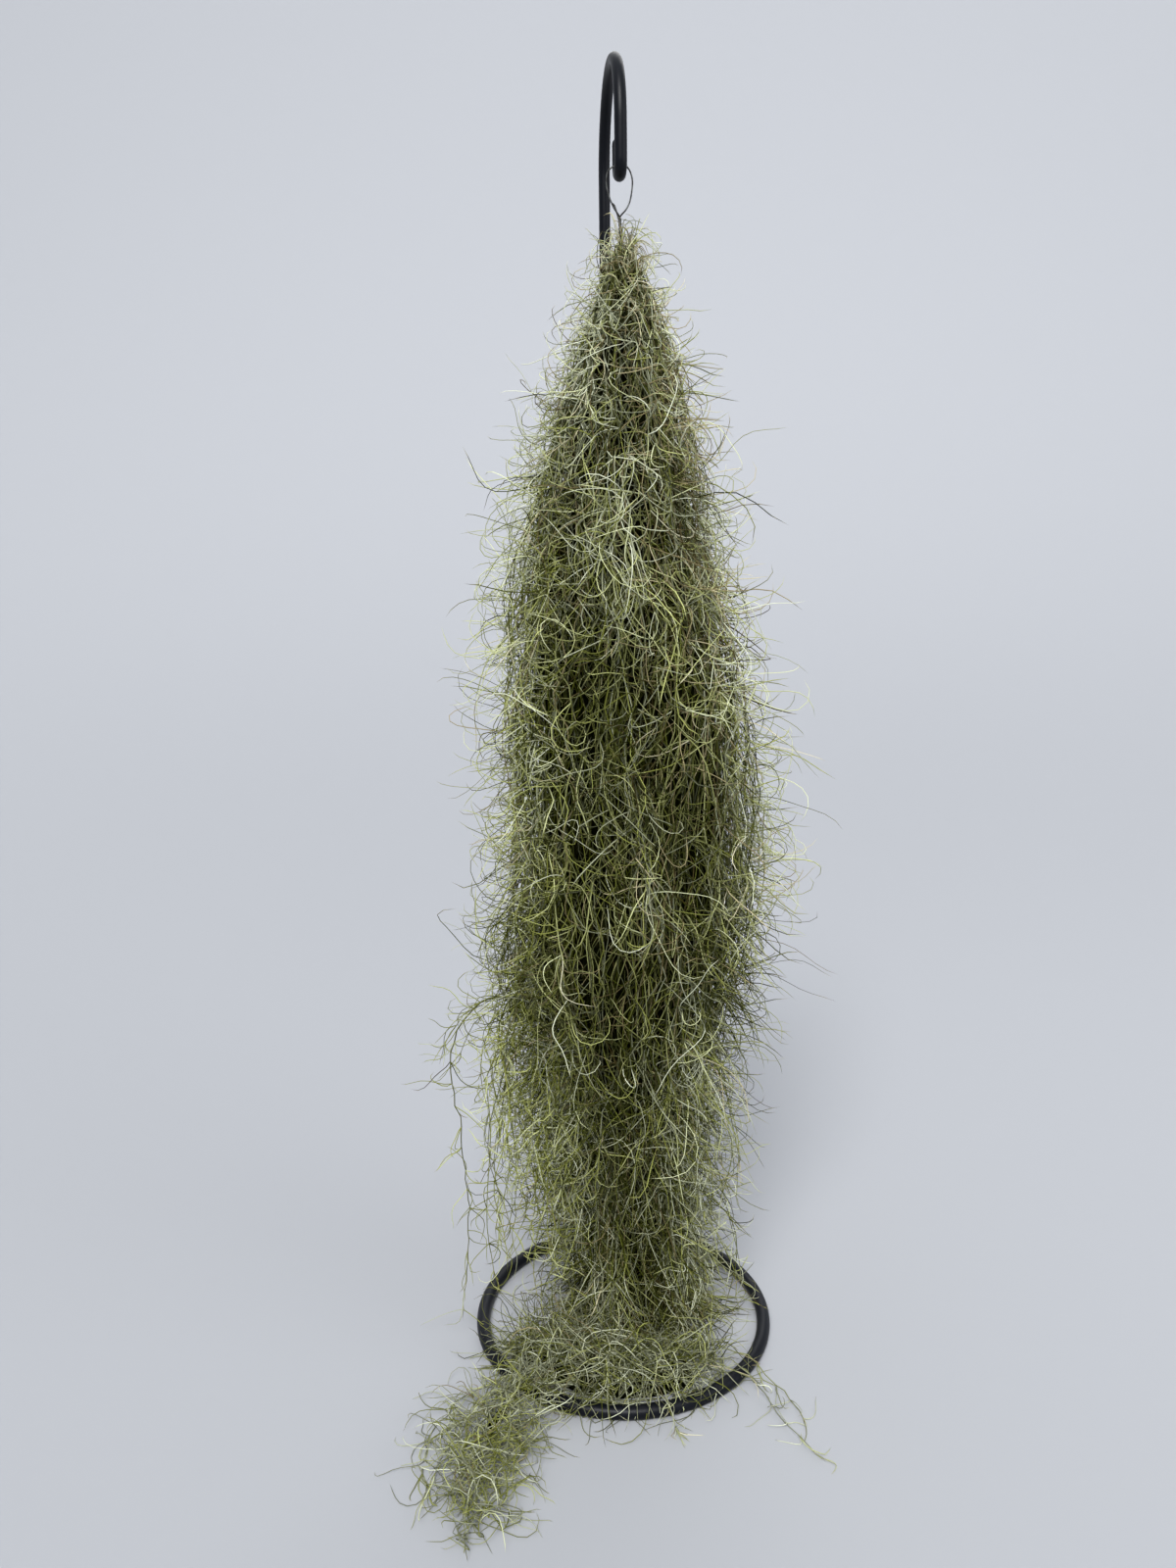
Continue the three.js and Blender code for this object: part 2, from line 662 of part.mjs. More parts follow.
// Strands that run over the ring on to the floor, at the right and in front.
growStrand(
  pile,
  vectors([
    [80, -82, 12],
    [93, -87, 15.4],
    [109, -99, 15.2],
    [121, -115, 10.5],
    [134, -140, 4],
    [146, -168, 3.5],
    [163, -196, 3.5],
    [184, -214, 3.5],
  ]),
);
growStrand(
  pile,
  vectors([
    [22, -112, 18],
    [31, -134, 20],
    [37, -148, 13],
    [42, -160, 4],
    [52, -176, 3.5],
  ]),
  18,
  2,
);

// A strand that leaves its hank at `top` and hangs down in front of it.
function growHangingStrand(hank, top) {
  const start = hank.skin(0.5, top);
  const path = [start.point.addScaledVector(start.out, -LEAF_SINK)];
  const length = between(...HANGING_LENGTH);
  for (let down = STRAND_STEP / 2; down < length; down += STRAND_STEP) {
    const { point, out } = hank.skin(0.5 + between(-HANGING_SWING, HANGING_SWING), top - down);
    path.push(point.addScaledVector(out, between(...HANGING_CLEAR)));
  }
  if (isFree(path, hank)) growStrand(hank, path);
}

hanks.forEach((hank, i) => {
  const share = ((5 * i) % HANKS) / (HANKS - 1);
  growHangingStrand(hank, THREE.MathUtils.lerp(levels[3], levels.at(-4), share));
});

// Leaves all over the hanks, evenly by area.
const GOLDEN = (Math.sqrt(5) - 1) / 2;
const AREA_STEP = 10;
const widths = [...REACH].reverse().map(([z, left, right]) => [z, left + right]);
const areaBelow = [[0, levels.at(-1)]];
for (let z = levels.at(-1); z < levels[0]; z += AREA_STEP)
  areaBelow.push([areaBelow.at(-1)[0] + alongLine(widths, z), z + AREA_STEP]);
hanks.forEach((hank, index) => {
  for (let i = 0; i < LEAVES_ON_HANK; i++) {
    const z = alongLine(areaBelow, (areaBelow.at(-1)[0] * (i + 0.5)) / LEAVES_ON_HANK);
    const across = 0.08 + 0.84 * ((i * GOLDEN + index * 0.37) % 1);
    growSkinLeaf(hank, hank.skin(across, Math.min(z, levels[0] - LEAF_SINK)));
  }
});

// Leaves that stand up round the wire, where the hanks are tied.
for (let i = 0; i < LEAVES_AT_TOP; i++) {
  const hank = hanks[Math.floor((i * HANKS) / LEAVES_AT_TOP)];
  const { point, out } = hank.skin(0.5, levels[0] - 2 * LEAF_SINK);
  growSkinLeaf(hank, { point, out: out.add(new THREE.Vector3(0, 0, 0.9)).normalize() });
}

for (const [heap, count] of [[pile, LEAVES_ON_PILE], [tail, LEAVES_ON_TAIL]])
  for (let i = 0; i < count; i++)
    growSkinLeaf(heap, heap.skin((i + 0.5) / count, 1.8 * (((i * GOLDEN) % 1) - 0.5)));

// ---- The part ----

const part = new THREE.Group();

function addPiece(name, geometry, finish) {
  const shaded = geometry.toNonIndexed();
  shaded.computeVertexNormals();
  const mesh = new THREE.Mesh(shaded, new THREE.MeshStandardMaterial(finish));
  mesh.name = name;
  part.add(mesh);
}

const mossFinish = (i) => ({
  color: MOSS_COLOURS[i % MOSS_COLOURS.length],
  roughness: MOSS_ROUGHNESS,
  metalness: 0,
});

addPiece("stand_ring", standRing(), FINISHES.steel);
addPiece("stand_post", standPost(), FINISHES.steel);
addPiece("wire_loop", wireLoop(), FINISHES.wire);
hanks.forEach((hank, i) => {
  addPiece(`moss_hank_${String(i + 1).padStart(2, "0")}`, fuse(hank.pieces), mossFinish(i));
});
addPiece("moss_pile", fuse(pile.pieces), mossFinish(1));
addPiece("moss_tail", fuse(tail.pieces), mossFinish(3));

const footprint = new THREE.Box3().setFromObject(part).getCenter(new THREE.Vector3());
part.position.set(-footprint.x, -footprint.y, 0);

export default part;
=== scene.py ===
"""A bunch of Spanish moss on its hook stand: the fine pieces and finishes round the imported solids.

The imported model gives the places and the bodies. Sizes are millimetres in the stand's own frame:
the base ring lies round the Z axis on the floor z = 0, the post rises at the back (+Y) and the hook
hangs over the ring's middle. make_piece() turns a mesh into metres and puts it where the packed
ring stands. Only Lamp and Studio are in metres.
"""

from __future__ import annotations

import logging
import math
from collections.abc import Iterator
from dataclasses import dataclass, field
from enum import Enum
from typing import Any

import bpy
import numpy as np
from mathutils import Matrix, Vector


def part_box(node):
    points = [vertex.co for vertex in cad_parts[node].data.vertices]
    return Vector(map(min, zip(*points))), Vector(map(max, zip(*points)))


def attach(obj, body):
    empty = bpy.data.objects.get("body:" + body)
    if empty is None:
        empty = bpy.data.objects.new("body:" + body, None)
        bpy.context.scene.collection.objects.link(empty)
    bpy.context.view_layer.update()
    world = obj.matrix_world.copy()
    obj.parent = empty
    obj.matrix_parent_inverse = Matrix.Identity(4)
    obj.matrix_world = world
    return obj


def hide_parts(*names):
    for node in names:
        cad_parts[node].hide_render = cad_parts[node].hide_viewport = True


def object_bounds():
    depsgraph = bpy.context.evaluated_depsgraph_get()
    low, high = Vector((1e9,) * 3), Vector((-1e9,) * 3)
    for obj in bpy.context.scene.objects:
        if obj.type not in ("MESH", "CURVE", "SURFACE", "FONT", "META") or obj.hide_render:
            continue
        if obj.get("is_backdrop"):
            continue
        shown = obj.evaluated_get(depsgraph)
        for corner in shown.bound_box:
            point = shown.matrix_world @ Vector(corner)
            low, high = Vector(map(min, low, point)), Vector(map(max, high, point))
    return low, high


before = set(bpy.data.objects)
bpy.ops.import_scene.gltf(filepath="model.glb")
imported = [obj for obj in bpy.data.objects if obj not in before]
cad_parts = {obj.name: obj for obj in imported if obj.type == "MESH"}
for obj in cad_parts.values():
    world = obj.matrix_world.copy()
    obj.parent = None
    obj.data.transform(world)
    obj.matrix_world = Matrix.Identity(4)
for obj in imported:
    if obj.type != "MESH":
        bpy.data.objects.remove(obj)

CAD_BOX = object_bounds()
LOG = logging.getLogger("moss")

Array = np.ndarray
Link = bpy.types.NodeSocket
Pair = tuple[float, float]
Triple = tuple[float, float, float]
Colour = Triple
Profile = tuple[Pair, ...]  # heights, rising, and a value at each

MM = 0.001
MAP = "OFBake"  # the UV map of every piece
WHOLE_MAP = (0.0, 1.0)
INNER = 1  # where the inner body's finish stands in the list of a piece of moss
BODY = "root"
SEED = 1871  # the same as in the part's source, so that locks and edges fall in the same places
ROUND = 6.28  # a turn in radians, near enough for the length of a sway

# ---- Shared tools for shapes ----


def unit(vectors: Array) -> Array:
    """Returns the vectors scaled to length 1, along the last axis."""
    return vectors / np.maximum(np.linalg.norm(vectors, axis=-1, keepdims=True), 1e-12)


def square_to(directions: Array, rng: np.random.Generator) -> Array:
    """Returns a random unit vector square to each direction."""
    other = rng.normal(size=directions.shape)
    along = np.sum(other * directions, axis=-1, keepdims=True)
    return unit(other - along * directions)


def ramp(values: Array, start: float, end: float) -> Array:
    """Returns 0 before `start`, 1 past `end` and a straight rise between them."""
    return np.clip((values - start) / (end - start), 0, 1)


def read_off(profile: Profile, z: Array) -> Array:
    """Returns the values of a profile at the heights `z`."""
    heights, values = zip(*profile)
    return np.interp(z, heights, values)


def smooth_path(corners: Array, steps: int) -> Array:
    """Carries a smooth curve through a row of points.

    Formula: a Catmull-Rom curve. Between the points b and c, with neighbours a and d, it is
    half of 2b + (c - a) t + (2a - 5b + 4c - d) t^2 + (3b - a - 3c + d) t^3.

    Args:
        corners: Points to pass through, one a row.
        steps: Pieces that each stretch between two points is cut into.

    Returns:
        Points on the curve, one a row.
    """
    padded = np.vstack([2 * corners[0] - corners[1], corners, 2 * corners[-1] - corners[-2]])
    a, b, c, d = (padded[i : len(padded) - 3 + i, None, :] for i in range(4))
    t = (np.arange(steps) / steps)[None, :, None]
    curve = 2 * b + (c - a) * t + (2 * a - 5 * b + 4 * c - d) * t**2 + (3 * b - a - 3 * c + d) * t**3
    return np.vstack([(curve / 2).reshape(-1, 3), corners[-1]])


def evenly(path: Array, step: float) -> Array:
    """Spaces points evenly along a path.

    Args:
        path: The path's points, one a row.
        step: About how far apart the new ones lie.

    Returns:
        The new points, one a row.
    """
    reach = np.concatenate([[0.0], np.cumsum(np.linalg.norm(np.diff(path, axis=0), axis=1))])
    places = np.linspace(0.0, reach[-1], max(2, round(reach[-1] / step) + 1))
    return np.column_stack([np.interp(places, reach, path[:, axis]) for axis in range(3)])


def carried_sides(tangents: Array, first: Array) -> Array:
    """Carries a side vector along rows of stations without twisting it.

    Formula: at each station the side before it loses its part along the new tangent.

    Args:
        tangents: Unit directions, as (rows, stations, 3).
        first: A side vector for the first station of each row, as (rows, 3).

    Returns:
        Unit side vectors square to the tangents, in the tangents' shape.
    """
    sides = np.empty_like(tangents)
    side = first
    for i in range(tangents.shape[1]):
        tangent = tangents[:, i]
        side = unit(side - np.sum(side * tangent, axis=1, keepdims=True) * tangent)
        sides[:, i] = side
    return sides


@dataclass
class Skin:
    """Part of a mesh in the making: points in millimetres, and faces with their UVs and finishes."""

    points: Array
    quads: Array
    triangles: Array
    quad_uv: Array
    triangle_uv: Array
    finish: int = 0

    def triangle_count(self) -> int:
        """Returns the number of triangles once the quads are split."""
        return 2 * len(self.quads) + len(self.triangles)


def tubes(paths: Array, radii: Array, columns: Array, rng: np.random.Generator) -> Skin:
    """Makes closed three-sided tubes that run out into a point, for strands and leaves.

    Formula: corner j of ring i is p + r (cos a s + sin a (t x s)) with a = 2 pi j / 3, where p is
    the path's point, r the radius, t the direction from the point before to the point after, and s
    a side vector carried along. The last station is the point.

    Args:
        paths: Middle lines, as (tubes, stations, 3).
        radii: Radius at each station, as (tubes, stations).
        columns: Left edge of each tube's column on the UV map.
        rng: Random numbers, for the way the corners face.

    Returns:
        One skin for all tubes. A UV map's u goes round a tube and v along it.
    """
    count, stations, _ = paths.shape
    rings = stations - 1
    tangents = unit(np.gradient(paths, axis=1))
    sides = carried_sides(tangents, square_to(tangents[:, 0], rng))
    ups = np.cross(tangents, sides)
    turn = 2 * np.pi * np.arange(3) / 3
    corner = np.cos(turn)[:, None] * sides[:, :rings, None] + np.sin(turn)[:, None] * ups[:, :rings, None]
    ring_points = paths[:, :rings, None] + radii[:, :rings, None, None] * corner
    points = np.concatenate([ring_points.reshape(count, 3 * rings, 3), paths[:, -1:]], axis=1)

    i, j = np.mgrid[0 : rings - 1, 0:3]
    k = (j + 1) % 3
    quads = np.stack([3 * i + j, 3 * i + k, 3 * i + 3 + k, 3 * i + 3 + j], axis=-1).reshape(-1, 4)
    quad_u = np.stack([j, j + 1, j + 1, j], axis=-1).reshape(-1, 4) / 3
    quad_v = np.stack([i, i, i + 1, i + 1], axis=-1).reshape(-1, 4) / rings
    last = 3 * (rings - 1)
    triangles = np.array([[last, last + 1, last + 3], [last + 1, last + 2, last + 3],
                          [last + 2, last, last + 3], [0, 2, 1]])
    triangle_u = np.array([[0, 1, 0.5], [1, 2, 1.5], [2, 3, 2.5], [0, 3, 1.5]]) / 3
    before_tip = (rings - 1) / rings
    triangle_v = np.array([[before_tip, before_tip, 1]] * 3 + [[0, 0, 0.5 / rings]])

    first = (np.arange(count) * (3 * rings + 1))[:, None, None]
    place = columns[:, None, None]

    def on_map(across: Array, along: Array) -> Array:
        """Returns the corners of the faces of all tubes on the UV map."""
        u = place + UvPlan.COLUMN_WIDTH * across[None]
        v = np.broadcast_to(along[None], u.shape)
        return np.stack([u, v], axis=-1).reshape(-1, along.shape[1], 2)

    return Skin(
        points=points.reshape(-1, 3),
        quads=(quads[None] + first).reshape(-1, 4),
        triangles=(triangles[None] + first).reshape(-1, 3),
        quad_uv=on_map(quad_u, quad_v),
        triangle_uv=on_map(triangle_u, triangle_v),
    )


def sleeve(rings: Array, u_range: Pair, endless: bool = False, finish: int = 0) -> Skin:
    """Makes a closed skin over a row of rings of points.

    Formula: the grid's rows are the rings and wrap round. The two end rings are closed by fans
    about their middles, or joined to each other if the row is endless.

    Args:
        rings: Points as (rings, corners, 3), each ring anticlockwise about the way the row goes.
        u_range: The skin's place on the UV map, from and to, round the rings.
        endless: Whether the last ring is followed by the first one.
        finish: Number of the finish that the faces take.

    Returns:
        The skin. A UV map's v goes along the row.
    """
    rows, corners, _ = rings.shape
    i, j = np.mgrid[0 : rows if endless else rows - 1, 0:corners]
    after, k = (i + 1) % rows, (j + 1) % corners
    quads = np.stack([i * corners + j, i * corners + k, after * corners + k, after * corners + j], axis=-1)
    low, high = u_range
    u = low + (high - low) * np.stack([j, j + 1, j + 1, j], axis=-1) / corners
    v = np.stack([i, i, i + 1, i + 1], axis=-1) / (rows if endless else rows - 1)
    points = rings.reshape(-1, 3)
    triangles, triangle_uv = np.empty((0, 3), int), np.empty((0, 3, 2))
    if not endless:
        points = np.vstack([points, rings[0].mean(axis=0), rings[-1].mean(axis=0)])
        one, start, end = np.arange(corners), rows * corners, (rows - 1) * corners
        two = (one + 1) % corners
        triangles = np.vstack([
            np.column_stack([np.full(corners, start), two, one]),
            np.column_stack([end + one, end + two, np.full(corners, start + 1)]),
        ])
        left, right = low + (high - low) * one / corners, low + (high - low) * (one + 1) / corners
        inset = 0.5 / rows
        first_uv = np.stack([(left + right) / 2, right, left, 0 * one + inset, 0 * one, 0 * one], axis=-1)
        last_uv = np.stack([left, right, (left + right) / 2, 0 * one + 1, 0 * one + 1,
                            0 * one + 1 - inset], axis=-1)
        triangle_uv = np.vstack([first_uv, last_uv]).reshape(-1, 2, 3).transpose(0, 2, 1)
    return Skin(points, quads.reshape(-1, 4), triangles, np.stack([u, v], axis=-1).reshape(-1, 4, 2),
                triangle_uv, finish)


def rod(path: Array, radii: Array, corners: int) -> Skin:
    """Makes one round rod along a path.

    Args:
        path: Its middle line, one point a row.
        radii: Its radius at each point.
        corners: Corners of its section.

    Returns:
        The skin.
    """
    tangents = unit(np.gradient(path, axis=0))[None]
    askew = [0.31, 0.87, 0.39]  # no rod starts along it
    sides = carried_sides(tangents, np.cross(tangents[0, 0], askew)[None])[0]
    ups = np.cross(tangents[0], sides)
    turn = 2 * np.pi * np.arange(corners) / corners
    ring = np.cos(turn)[:, None] * sides[:, None] + np.sin(turn)[:, None] * ups[:, None]
    return sleeve(path[:, None] + radii[:, None, None] * ring, WHOLE_MAP)


def make_piece(name: str, skins: list[Skin], finishes: list[bpy.types.Material], slot: str,
               *nodes: str) -> None:
    """Joins skins into one mesh object that stands for CAD nodes and rides on the root body.

    Args:
        name: The piece's name.
        skins: The parts of its mesh, in millimetres in the stand's frame.
        finishes: Its materials, which the skins' finish numbers pick from.
        slot: The record's material slot; not used.
        *nodes: The CAD nodes that it replaces.
    """
    shifts = np.cumsum([0] + [len(skin.points) for skin in skins[:-1]])
    points = np.vstack([skin.points for skin in skins])
    quads = np.vstack([skin.quads + shift for skin, shift in zip(skins, shifts)])
    triangles = np.vstack([skin.triangles + shift for skin, shift in zip(skins, shifts)])
    corners = np.concatenate([quads.ravel(), triangles.ravel()])
    uv = np.concatenate([skin.quad_uv.ravel() for skin in skins]
                        + [skin.triangle_uv.ravel() for skin in skins])
    finish = np.concatenate([np.full(len(skin.quads), skin.finish) for skin in skins]
                            + [np.full(len(skin.triangles), skin.finish) for skin in skins])
    starts = np.concatenate([4 * np.arange(len(quads)), 4 * len(quads) + 3 * np.arange(len(triangles))])

    mesh = bpy.data.meshes.new(name)
    mesh.vertices.add(len(points))
    mesh.vertices.foreach_set("co", (points * MM + STAND_PLACE).astype(np.float32).ravel())
    mesh.loops.add(len(corners))
    mesh.loops.foreach_set("vertex_index", corners.astype(np.int32))
    mesh.polygons.add(len(starts))
    mesh.polygons.foreach_set("loop_start", starts.astype(np.int32))
    mesh.polygons.foreach_set("use_smooth", np.ones(len(starts), bool))
    mesh.polygons.foreach_set("material_index", finish.astype(np.int32))
    mesh.uv_layers.new(name=MAP, do_init=False).data.foreach_set("uv", uv.astype(np.float32))
    mesh.update(calc_edges=True)
    for material in finishes:
        mesh.materials.append(material)

    piece = bpy.data.objects.new(name, mesh)
    bpy.context.scene.collection.objects.link(piece)
    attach(piece, BODY)
    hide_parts(*nodes)
    LOG.info("%s: %d triangles", name, sum(skin.triangle_count() for skin in skins))


# ---- Colours of the moss, laid out in columns on the UV map ----


class Tone(Enum):
    """The colourings that strands and leaves have, in the order of their bands on the UV map."""

    GREEN = 0
    YELLOW = 1
    STRAW = 2
    SILVER = 3


class UvPlan:
    """Where strands, leaves and the inner body lie on the UV map.

    Each colouring has a band of columns, from dark to pale. All strands and leaves of one tone
    share a column, because a finish reads nothing but the map there.
    """

    LEAF_SHARE = 0.8  # width of all bands together; the inner body has the rest
    STEPS = 12  # columns in a band
    COLUMN = LEAF_SHARE / (len(Tone) * STEPS)
    MARGIN = 0.14  # of a column, kept free at both sides
    COLUMN_WIDTH = COLUMN * (1 - 2 * MARGIN)
    BODY_RANGE = (0.82, 0.995)

    @classmethod
    def column(cls, tone: Array, paleness: Array) -> Array:
        """Returns the left edge of the column for each tone's number and paleness from 0 to 1."""
        step = np.clip(np.floor(paleness * cls.STEPS), 0, cls.STEPS - 1)
        return (tone * cls.STEPS + step + cls.MARGIN) * cls.COLUMN


# ---- Shader maths ----


class Shader:
    """The node tree of one material."""

    def __init__(self, name: str) -> None:
        """Makes an empty material.

        Args:
            name: The material's name.
        """
        self.material = bpy.data.materials.new(name)
        self.material.use_nodes = True
        self.tree = self.material.node_tree
        self.tree.nodes.clear()

    def node(self, kind: str, settings: dict[str, Any] | None = None,
             sockets: dict[str | int, Any] | None = None) -> bpy.types.Node:
        """Adds a node.

        Args:
            kind: The node's type, without its "ShaderNode".
            settings: Its properties. "stops" gives a colour ramp's places and colours.
            sockets: Values or links for its inputs, by name or number.

        Returns:
            The node.
        """
        made = self.tree.nodes.new("ShaderNode" + kind)
        for key, setting in (settings or {}).items():
            if key == "stops":
                elements = made.color_ramp.elements
                while len(elements) > 1:
                    elements.remove(elements[-1])
                for i, (place, colour) in enumerate(setting):
                    stop = elements[0] if i == 0 else elements.new(place)
                    stop.position, stop.color = place, (*colour, 1.0)
            elif key == "interpolation":
                made.color_ramp.interpolation = setting
            else:
                setattr(made, key, setting)
        for key, value in (sockets or {}).items():
            self.feed(made.inputs[key], value)
        return made

    def feed(self, socket: Link, value: Any) -> None:
        """Gives a node's input its value.

        Args:
            socket: The input.
            value: An output or an expression to link, or a plain value to set. A colour of three
                parts becomes opaque.
        """
        if isinstance(value, Number):
            value = value.socket
        if isinstance(value, bpy.types.NodeSocket):
            self.tree.links.new(value, socket)
        elif hasattr(value, "__len__") and len(value) == 3 and socket.type == "RGBA":
            socket.default_value = (*value, 1.0)
        else:
            socket.default_value = value

    def number(self, socket: Link) -> Number:
        """Returns an output as a number for expressions."""
        return Number(self, socket)

    def mixed(self, share: Any, first: Any, second: Any) -> Link:
        """Returns the mix of two colours, with `share` of the second."""
        return self.node("Mix", {"data_type": "RGBA"}, {0: share, 6: first, 7: second}).outputs[2]

    def noise(self, where: Any, scale: float, detail: float = 2.0, roughness: float = 0.5) -> Number:
        """Returns a noise from 0 to 1."""
        sockets = {"Vector": where, "Scale": scale, "Detail": detail, "Roughness": roughness}
        return self.number(self.node("TexNoise", None, sockets).outputs["Fac"])

    def bump(self, height: Any, distance: float, strength: float = 1.0) -> Link:
        """Returns the normal of a surface that rises by `height` times `distance`, in metres."""
        sockets = {"Height": height, "Distance": distance, "Strength": strength}
        return self.node("Bump", None, sockets).outputs["Normal"]

    def dressed(self, **sockets: Any) -> bpy.types.Material:
        """Ends the material with one Principled surface.

        Args:
            **sockets: Its inputs, with _ for the spaces in their names.

        Returns:
            The finished material.
        """
        named = {key.replace("_", " "): value for key, value in sockets.items()}
        surface = self.node("BsdfPrincipled", None, named)
        output = self.node("OutputMaterial")
        self.tree.links.new(surface.outputs[0], output.inputs[0])
        return self.material


class Number:
    """A number in a shader. Python's operators on it add Math nodes."""

    def __init__(self, shader: Shader, socket: Link) -> None:
        """Wraps an output of a node in `shader`."""
        self.shader = shader
        self.socket = socket

    def maths(self, operation: str, *others: Any, first: Any = None) -> Number:
        """Adds a Math node.

        Args:
            operation: The node's operation.
            *others: Its further inputs.
            first: Its first input, if that isn't this number.

        Returns:
            The result.
        """
        values = [self if first is None else first, *others]
        made = self.shader.node("Math", {"operation": operation}, dict(enumerate(values)))
        return Number(self.shader, made.outputs[0])

    def __add__(self, other: Any) -> Number:
        """Adds."""
        return self.maths("ADD", other)

    __radd__ = __add__

    def __mul__(self, other: Any) -> Number:
        """Multiplies."""
        return self.maths("MULTIPLY", other)

    __rmul__ = __mul__

    def __rsub__(self, other: Any) -> Number:
        """Subtracts this number from another."""
        return self.maths("SUBTRACT", self, first=other)

    def __truediv__(self, other: Any) -> Number:
        """Divides."""
        return self.maths("DIVIDE", other)

    def __pow__(self, other: float) -> Number:
        """Raises to a power."""
        return self.maths("POWER", other)

    def fraction(self) -> Number:
        """Returns what follows the decimal point."""
        return self.maths("FRACT")

    def stepped(self, low: float, high: float) -> Number:
        """Makes a smooth step of this number.

        Args:
            low: Where the step starts.
            high: Where it ends.

        Returns:
            0 below the start, 1 above the end and a smooth rise between them.
        """
        sockets = {"Value": self, "From Min": low, "From Max": high}
        made = self.shader.node("MapRange", {"interpolation_type": "SMOOTHSTEP"}, sockets)
        return Number(self.shader, made.outputs[0])


# ---- Finishes ----


@dataclass(frozen=True)
class LeafFinish:
    """Strands and leaves: four colourings from dark to pale, with pale scales and a painted highlight.

    Formula: the colour is a function of the UV map alone. u picks the colouring and the paleness,
    by a power of which its dark and its light are mixed; the paleness carries much of the painted
    light and shade. v runs from root to tip: the root is darker, and some tips are dry. The scales
    lie in fine speckles, and over the palest leaves lies a whitening that is partly the scales'
    silver and partly a painted highlight.
    """

    name: str = "moss_leaf"
    # A colour for each tone, in their order.
    dark: tuple[Colour, ...] = ((0.016, 0.019, 0.001), (0.026, 0.031, 0.001), (0.030, 0.022, 0.004),
                                (0.020, 0.023, 0.004))
    light: tuple[Colour, ...] = ((0.63, 0.66, 0.23), (0.61, 0.65, 0.12), (0.68, 0.56, 0.28),
                                 (0.67, 0.70, 0.46))
    light_power: float = 1.22
    root: Colour = (0.055, 0.062, 0.008)
    root_end: float = 0.3  # of the way to the tip
    root_share: float = 0.35
    tip: Colour = (0.62, 0.55, 0.26)
    tip_start: float = 0.72
    tip_share: float = 0.5
    # The scales' silver, which also paints the highlight over the palest leaves.
    scales: Colour = (0.85, 0.89, 0.74)
    speckle_share: float = 0.2
    # Painted highlight: how far the palest leaves whiten all over.
    painted_highlight_share: float = 0.55
    speckle_stretch: Triple = (420.0, 150.0, 1.0)
    roughness: float = 0.66

    def material(self) -> bpy.types.Material:
        """Builds the material.

        Returns:
            The material.
        """
        shader = Shader(self.name)
        where = shader.node("UVMap", {"uv_map": MAP}).outputs[0]
        parts = shader.node("SeparateXYZ", None, {0: where})
        band = shader.number(parts.outputs[0]) / UvPlan.LEAF_SHARE
        along = shader.number(parts.outputs[1])
        paleness = (band * len(Tone)).fraction()

        def banded(colours: tuple[Colour, ...]) -> Link:
            """Returns the colour of the tone that the map's place belongs to."""
            stops = [(i / len(Tone), colour) for i, colour in enumerate(colours)]
            settings = {"stops": stops, "interpolation": "CONSTANT"}
            return shader.node("ValToRGB", settings, {0: band}).outputs[0]

        spread = shader.node("Mapping", None, {"Vector": where, "Scale": self.speckle_stretch}).outputs[0]
        speckle = shader.noise(spread, 1.0, 3.0, 0.6)
        drift = shader.noise(spread, 0.12, 1.0)
        colour = shader.mixed(paleness**self.light_power, banded(self.dark), banded(self.light))
        stalk = (1 - along.stepped(0.0, self.root_end)) * self.root_share
        colour = shader.mixed(stalk, colour, self.root)
        dry = along.stepped(self.tip_start, 1.0) * drift.stepped(0.4, 0.65) * self.tip_share
        colour = shader.mixed(dry, colour, self.tip)
        # Real scales in fine speckles, plus a painted highlight that whitens the palest leaves by a fourth
        # power of their paleness.
        silver = (speckle.stepped(0.45, 0.75) * paleness * self.speckle_share
                  + paleness**4 * self.painted_highlight_share)
        colour = shader.mixed(silver, colour, self.scales)
        return shader.dressed(
            Base_Color=colour,
            Roughness=self.roughness - 0.12 * speckle,
            Normal=shader.bump(speckle, 0.0002, 0.4),
            Specular_IOR_Level=0.02,
        )


@dataclass(frozen=True)
class InnerShadeFinish:
    """The inner body of a hank or heap: packed old strands in painted deep shade, nearly black in the
    gaps.
    """

    name: str = "moss_inner_shade"
    # The gaps are painted shade, and the strands are darkened by painted shade as well.
    gap: Colour = (0.003, 0.0035, 0.001)
    strand: Colour = (0.018, 0.021, 0.004)
    dry: Colour = (0.022, 0.016, 0.005)
    dry_share: float = 0.7
    fibre_scale: Triple = (330.0, 330.0, 38.0)  # drawn out downwards
    fibre_sway: Triple = (0.03, 0.03, 0.0)

    def material(self) -> bpy.types.Material:
        """Builds the material.

        Returns:
            The material.
        """
        shader = Shader(self.name)
        where = shader.node("TexCoord").outputs["Object"]
        wander = shader.node("TexNoise", None, {"Vector": where, "Scale": 22.0, "Detail": 1.0})
        swayed = shader.node("VectorMath", {"operation": "MULTIPLY_ADD"},
                             {0: wander.outputs["Color"], 1: self.fibre_sway, 2: where}).outputs[0]
        drawn = shader.node("Mapping", None, {"Vector": swayed, "Scale": self.fibre_scale}).outputs[0]
        fibres = shader.noise(drawn, 1.0, 3.0, 0.6)
        patches = shader.noise(where, 26.0, 2.0)
        # Painted light and shade: the lit fibres take the strands' colour, the rest the nearly black gaps.
        lit = fibres.stepped(0.46, 0.66)
        colour = shader.mixed(patches.stepped(0.45, 0.65) * self.dry_share, self.strand, self.dry)
        colour = shader.mixed(lit, self.gap, colour)
        return shader.dressed(
            Base_Color=colour,
            Roughness=0.95 - 0.1 * lit,
            Normal=shader.bump(fibres, 0.002),
            Specular_IOR_Level=0.0,
        )


